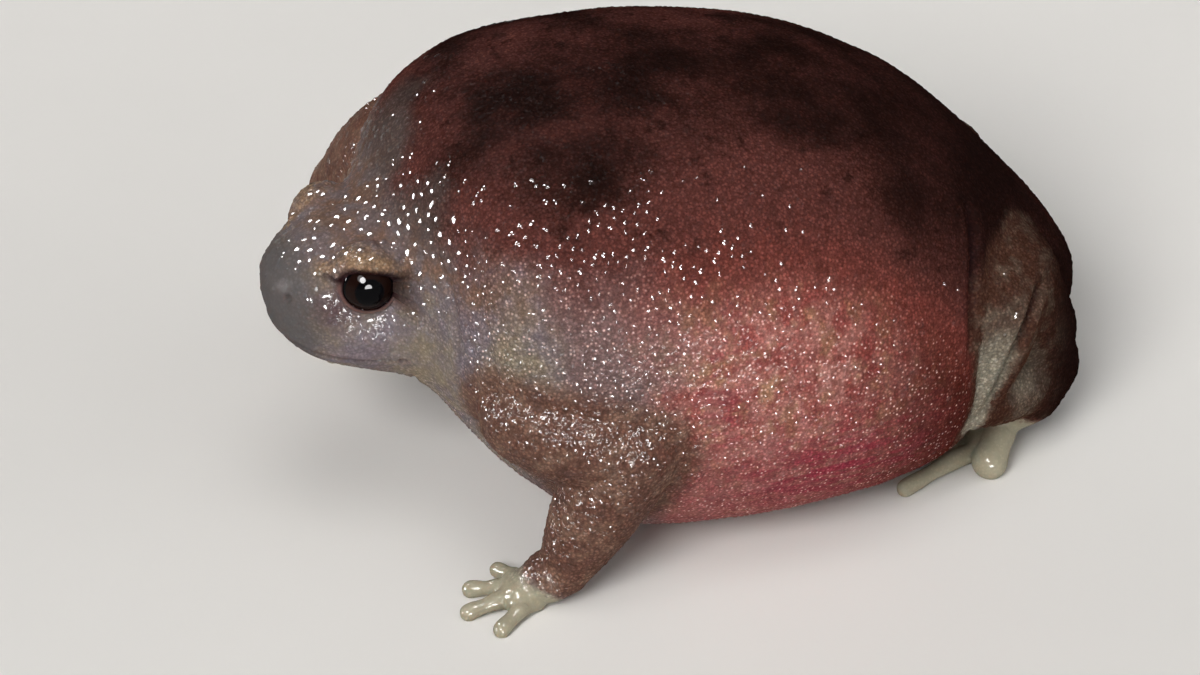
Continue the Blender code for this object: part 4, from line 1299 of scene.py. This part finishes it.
class SkinLook(bpy.types.PropertyGroup):
    """Sizes and colours of the skin."""

    voxel: length_property("Voxel", "Fineness of the union of body and limbs", 0.00015, 0.0001)
    triangles: IntProperty(
        name="Triangles", description="Most triangles in the skin", default=186000, min=20000, max=199000
    )
    unevenness: length_property(
        "Unevenness", "Depth of the soft bumps and dents of the skin", 0.00006
    )
    grain_depth: length_property(
        "Grain depth", "Depth of the finest grain, which the shader gives", 0.000022, precision=6
    )
    flesh: share_property("Flesh", "Share of light that goes into the skin and out again", 0.25)
    flesh_depth: length_property("Flesh depth", "How far that light goes", 0.0008)
    wetness: share_property("Wetness", "How strongly the film of water shines", 0.15)
    drop_shine: share_property(
        "Drop shine", "How strongly the wet round granules and lower lids shine", 0.55
    )
    wet_roughness: share_property("Wet roughness", "Roughness of the film of water", 0.1)
    bead_scale: strength_property("Bead scale", "Beads of the film for each millimetre", 2.0, 0.1)
    bead_depth: length_property("Bead depth", "Height of the beads of the film", 0.00018)
    flank: colour_property("Flank", "Crimson of the flanks", (0.26, 0.068, 0.058))
    flank_pale: colour_property("Pale flank", "Paler patches of the flanks", (0.38, 0.155, 0.13))
    tan: colour_property("Tan flank", "Tan patches of the flanks", (0.33, 0.17, 0.1))
    flank_low: colour_property("Lower flank", "Pink of the flanks low down", (0.28, 0.085, 0.085))
    # Partly the granules' own pale tips, partly painted glints
    dots_and_glints: colour_property("Dots", "Pale dots on granules of the flanks", (0.6, 0.42, 0.37))
    flank_top: colour_property("Upper flank", "Red of the flanks below the back", (0.17, 0.04, 0.03))
    # Painted shade: a darker copy of the flank's red for the rear
    flank_rear_shade: colour_property("Rear flank", "Dark red of the flanks behind", (0.075, 0.016, 0.011))
    blush: colour_property("Blush", "Crimson streaks at the rear", (0.25, 0.02, 0.045))
    # Back and dark back: partly the back's own tones and blotches, partly painted shade over the top and
    # rear
    back: colour_property("Back", "Deep red of the upper flanks", (0.095, 0.03, 0.024))
    dark_blotch_and_shade: colour_property("Dark back", "Darkest blotches of the back", (0.013, 0.0052, 0.0042))
    shoulder: colour_property("Shoulder", "Mauve brown of the shoulders", (0.17, 0.106, 0.1))
    crown: colour_property("Crown", "Dark mauve on top of the head", (0.08, 0.055, 0.048))
    head: colour_property("Head", "Mauve brown of the head", (0.165, 0.122, 0.12))
    head_warm: colour_property("Warm head", "Browner patches of the head", (0.19, 0.108, 0.076))
    snout: colour_property("Snout", "Lavender grey of the snout", (0.098, 0.087, 0.085))
    throat_yellow: colour_property("Yellow throat", "Yellow patches of the neck", (0.22, 0.175, 0.125))
    throat_lilac: colour_property("Lilac throat", "Lilac patches of the neck", (0.175, 0.142, 0.16))
    brow: colour_property("Brow", "Golden brown round the eyes", (0.245, 0.155, 0.095))
    # Purple red tone with painted shade of the hollow before the eyes
    loreal_shade: colour_property("Loreal", "Purple red before the eyes", (0.075, 0.035, 0.035))
    rim: colour_property("Lid rim", "Flesh brown of the lids' rims", (0.13, 0.06, 0.05))
    # Painted shade for the slit's edge, under the upper lids, the eyes' corners, the nostrils, the mouth
    # line and the thigh creases
    painted_shade: colour_property("Creases", "Dark of the corners of eye and mouth", (0.018, 0.007, 0.008))
    arm: colour_property("Arm", "Orange brown of the arms", (0.11, 0.048, 0.032))
    arm_pale: colour_property("Pale arm", "Paler patches of the arms", (0.17, 0.095, 0.068))
    leg: colour_property("Leg", "Brown of the legs", (0.06, 0.026, 0.017))
    leg_mauve: colour_property("Mauve leg", "Greyer patches of the legs", (0.1, 0.064, 0.045))
    leg_pale: colour_property("Pale leg", "Grey of the thighs below", (0.25, 0.22, 0.17))
    toes: colour_property("Toes", "Ivory grey of fingers and toes", (0.32, 0.29, 0.21))


class GranuleLook(bpy.types.PropertyGroup):
    """Sizes of the granules."""

    body_spacing: length_property(
        "Body spacing", "Least distance between granules on the body", 0.00042, 0.0003
    )
    head_spacing: length_property(
        "Head spacing", "Least distance between granules on the head", 0.00036, 0.0002
    )
    bead_spacing: length_property(
        "Bead spacing", "Least distance between the wet round granules of the flanks", 0.00046, 0.0004
    )
    height: length_property("Height", "Height of the small granules", 0.00004)
    bead_height: length_property("Bead height", "Height of the wet round granules", 0.000068)
    seed: IntProperty(name="Seed", description="Choice of the granules' places", default=7, min=0)


class EyeLook(bpy.types.PropertyGroup):
    """Shape and colours of the eyes."""

    bulge: length_property("Bulge", "How far the clear front stands out", 0.00006)
    pupil: colour_property("Pupil", "Near black of the pupil", (0.0015, 0.0015, 0.002))
    iris: colour_property("Iris", "Dim brown round the pupil", (0.009, 0.0035, 0.0025))
    edge: colour_property("Edge", "Flesh behind the iris", (0.03, 0.012, 0.01))


class StageLook(bpy.types.PropertyGroup):
    """Floor and light."""

    floor: colour_property("Floor", "Pale floor", (0.76, 0.74, 0.71))
    walls: strength_property("Walls", "Brightness of the room low down", 0.35)
    ceiling: strength_property("Ceiling", "Brightness of the room overhead", 0.08)
    light: strength_property("Light", "Strength of all the lights together", 1.13)
    sparkle: strength_property("Sparkle", "Strength of the glints in wet skin", 1.8)


class FROG_OT_make_skin(bpy.types.Operator):
    """Makes one skin over body, head and limbs"""

    bl_idname = "frog.make_skin"
    bl_label = "Make skin"

    def execute(self, context):
        look = context.scene.frog_skin
        shells = Shells()
        add_body(shells)
        for name, outer in SIDES.items():
            for _, *length in limb_lengths(name):
                shells.tube(*limb_line(*length), LIMB_SEGMENTS, 12)
            for shape in extremities(name):
                add_extremity(shells, *shape)
            shells.ball(eye_frame(outer)[0], LID_RADIUS)
            shells.tube(ham_line(outer), [radius for *_, radius in HAM], LIMB_SEGMENTS, 12)
        skin = union_of(shells, look.voxel / MM)
        mesh = skin.data
        relax(mesh, SMOOTH_PASSES)
        places = places_of(mesh)
        spots = to_world(places)
        for middle, low, high, passes in MELTED:
            blend = 1 - smoothstep(np.linalg.norm(np.abs(spots) - middle, axis=1), low, high)
            relax(mesh, passes, blend * (spots[:, 0] < 0), (0.5,))
        blend = np.zeros(len(places))
        for outer in SIDES.values():
            own, _, _, gap = eye_view(places, outer)
            close = 1 - smoothstep(np.linalg.norm(own, axis=1), 3.4, 5.0)
            blend = np.maximum(blend, close * smoothstep(gap, 0.5, 1.2))
        relax(mesh, 25, blend, (0.5,))
        places = places_of(mesh)
        near = np.zeros(len(places), bool)
        for outer in SIDES.values():
            close = np.linalg.norm(places - eye_frame(outer)[0], axis=1) < 3.2
            near |= close & (eye_view(places, outer)[0][:, 2] > 0)
        refine(mesh, near)
        sculpt(mesh, look)
        thin_out(skin, look.triangles)
        mesh = skin.data
        mark_skin(mesh)
        set_places(mesh, places_of(mesh) * MM)
        smooth_shade(mesh)
        mesh.materials.append(skin_material(look))
        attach(skin, "root")
        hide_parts(*FLESH)
        return {"FINISHED"}


class FROG_OT_make_granules(bpy.types.Operator):
    """Scatters low rounded granules over the skin"""

    bl_idname = "frog.make_granules"
    bl_label = "Make granules"

    def execute(self, context):
        look = context.scene.frog_granules
        skin = skin_object()
        tree = granule_tree()
        names = {item.name: item.identifier for item in tree.interface.items_tree}
        kinds = (
            ("granules_head", look.head_spacing, 0.55, look.height, 7, 0.0),
            ("granules_front", look.body_spacing, 0.55, look.height, 6, 0.0),
            ("granules_rear", look.body_spacing, 0.55, look.height, 6, 0.0),
            ("beads_head", 1.4 * look.bead_spacing, 0.44, 0.8 * look.bead_height, 16, 1.0),
            ("beads_body", look.bead_spacing, 0.4, look.bead_height, 12, 1.0),
        )
        for number, (part, spacing, width, height, sides, bead) in enumerate(kinds):
            obj = add_object(part, skin.data.copy())
            modifier = obj.modifiers.new("Granules", "NODES")
            modifier.node_group = tree
            inputs = {
                "Where": part,
                "Spacing": spacing,
                "Radius": width * spacing,
                "Height": height,
                "Sides": sides,
                "Bead": bead,
                "Seed": look.seed + number,
                "Skin": skin.data.materials[0],
            }
            for name, value in inputs.items():
                modifier[names[name]] = value
            bake_modifiers(obj)
            if not obj.data.polygons:
                raise RuntimeError(f"{part} came out empty")
            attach(obj, "root")
        return {"FINISHED"}


class FROG_OT_make_eyes(bpy.types.Operator):
    """Makes both eyes"""

    bl_idname = "frog.make_eyes"
    bl_label = "Make eyes"

    def execute(self, context):
        look = context.scene.frog_eyes
        material = eye_material(look)
        for name, outer in SIDES.items():
            centre, axes = eye_frame(outer)
            rows = np.linspace(0, math.pi, 66)[1:-1]
            columns = np.linspace(0, 2 * math.pi, 96, endpoint=False)
            radii = EYE_RADIUS + look.bulge / MM * (1 - smoothstep(rows, 0.2, 0.85))
            ring = np.stack((np.cos(columns), np.sin(columns) * outer), -1)
            shells = Shells()
            rings = []
            for row, radius in zip(rows[::-1], radii[::-1]):
                flat = ring * radius * math.sin(row)
                deep = np.full(len(columns), radius * math.cos(row))
                rings.append(np.column_stack((flat, deep)) @ axes + centre)
            ends = [centre - axes[2] * EYE_RADIUS, centre + axes[2] * radii[0]]
            shells.loft(rings, *ends)
            mesh = bpy.data.meshes.new(f"eyeball_{name}")
            mesh.from_pydata((np.concatenate(shells.points) * MM).tolist(), [], shells.faces)
            own = (places_of(mesh) / MM - centre) @ axes.T
            turn = np.arccos(np.clip(own[:, 2] / np.linalg.norm(own, axis=1), -1, 1))
            add_share(mesh, "iris", smoothstep(turn, 0.38, 0.5) * (1 - smoothstep(turn, 0.72, 0.85)))
            add_share(mesh, "white", smoothstep(turn, 0.85, 1.0))
            smooth_shade(mesh)
            mesh.materials.append(material)
            eye = add_object(f"eyeball_{name}", mesh)
            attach(eye, "root")
            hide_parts(f"eye_{name}")
        return {"FINISHED"}


class FROG_OT_make_stage(bpy.types.Operator):
    """Sets out the floor, the lights and the camera"""

    bl_idname = "frog.make_stage"
    bl_label = "Make stage"

    def execute(self, context):
        look = context.scene.frog_stage
        bm = bmesh.new()
        bmesh.ops.create_grid(bm, x_segments=8, y_segments=8, size=FLOOR_HALF_SIDE)
        mesh = bpy.data.meshes.new("floor")
        bm.to_mesh(mesh)
        bm.free()
        mesh.materials.append(floor_material(look))
        add_object("floor", mesh)
        add_room(look)
        for name, azimuth, elevation, spread, strength in LIGHTS:
            soft_light(name, azimuth, elevation, spread, strength * look.light)
        for name, azimuth, elevation, spread, strength in SPARKLES:
            light = soft_light(name, azimuth, elevation, spread, strength * look.sparkle)
            light.visible_diffuse = False
            light.visible_transmission = False
        context.scene.view_settings.view_transform = "Standard"
        add_camera()
        return {"FINISHED"}


class FROG_PT_model(bpy.types.Panel):
    """Lists what a user may change and the steps that make the model"""

    bl_idname = "FROG_PT_model"
    bl_label = "Turtle frog"
    bl_space_type = "VIEW_3D"
    bl_region_type = "UI"
    bl_category = "Turtle frog"

    def draw(self, context):
        for step, group in STEPS:
            box = self.layout.box()
            settings = getattr(context.scene, group)
            for name in settings.__annotations__:
                box.prop(settings, name)
            box.operator(step)


STEPS = (
    ("frog.make_skin", "frog_skin"),
    ("frog.make_granules", "frog_granules"),
    ("frog.make_eyes", "frog_eyes"),
    ("frog.make_stage", "frog_stage"),
)
GROUPS = {
    "frog_skin": SkinLook,
    "frog_granules": GranuleLook,
    "frog_eyes": EyeLook,
    "frog_stage": StageLook,
}
OPERATORS = (FROG_OT_make_skin, FROG_OT_make_granules, FROG_OT_make_eyes, FROG_OT_make_stage)


def register():
    for kind in (*GROUPS.values(), *OPERATORS, FROG_PT_model):
        bpy.utils.register_class(kind)
    for name, group in GROUPS.items():
        setattr(bpy.types.Scene, name, PointerProperty(type=group))


def unregister():
    for name in GROUPS:
        delattr(bpy.types.Scene, name)
    for kind in (FROG_PT_model, *reversed(OPERATORS), *reversed(GROUPS.values())):
        bpy.utils.unregister_class(kind)


def main():
    """Builds the whole model."""
    register()
    bpy.ops.frog.make_skin()
    bpy.ops.frog.make_granules()
    bpy.ops.frog.make_eyes()
    bpy.ops.frog.make_stage()


if __name__ == "__main__":
    main()
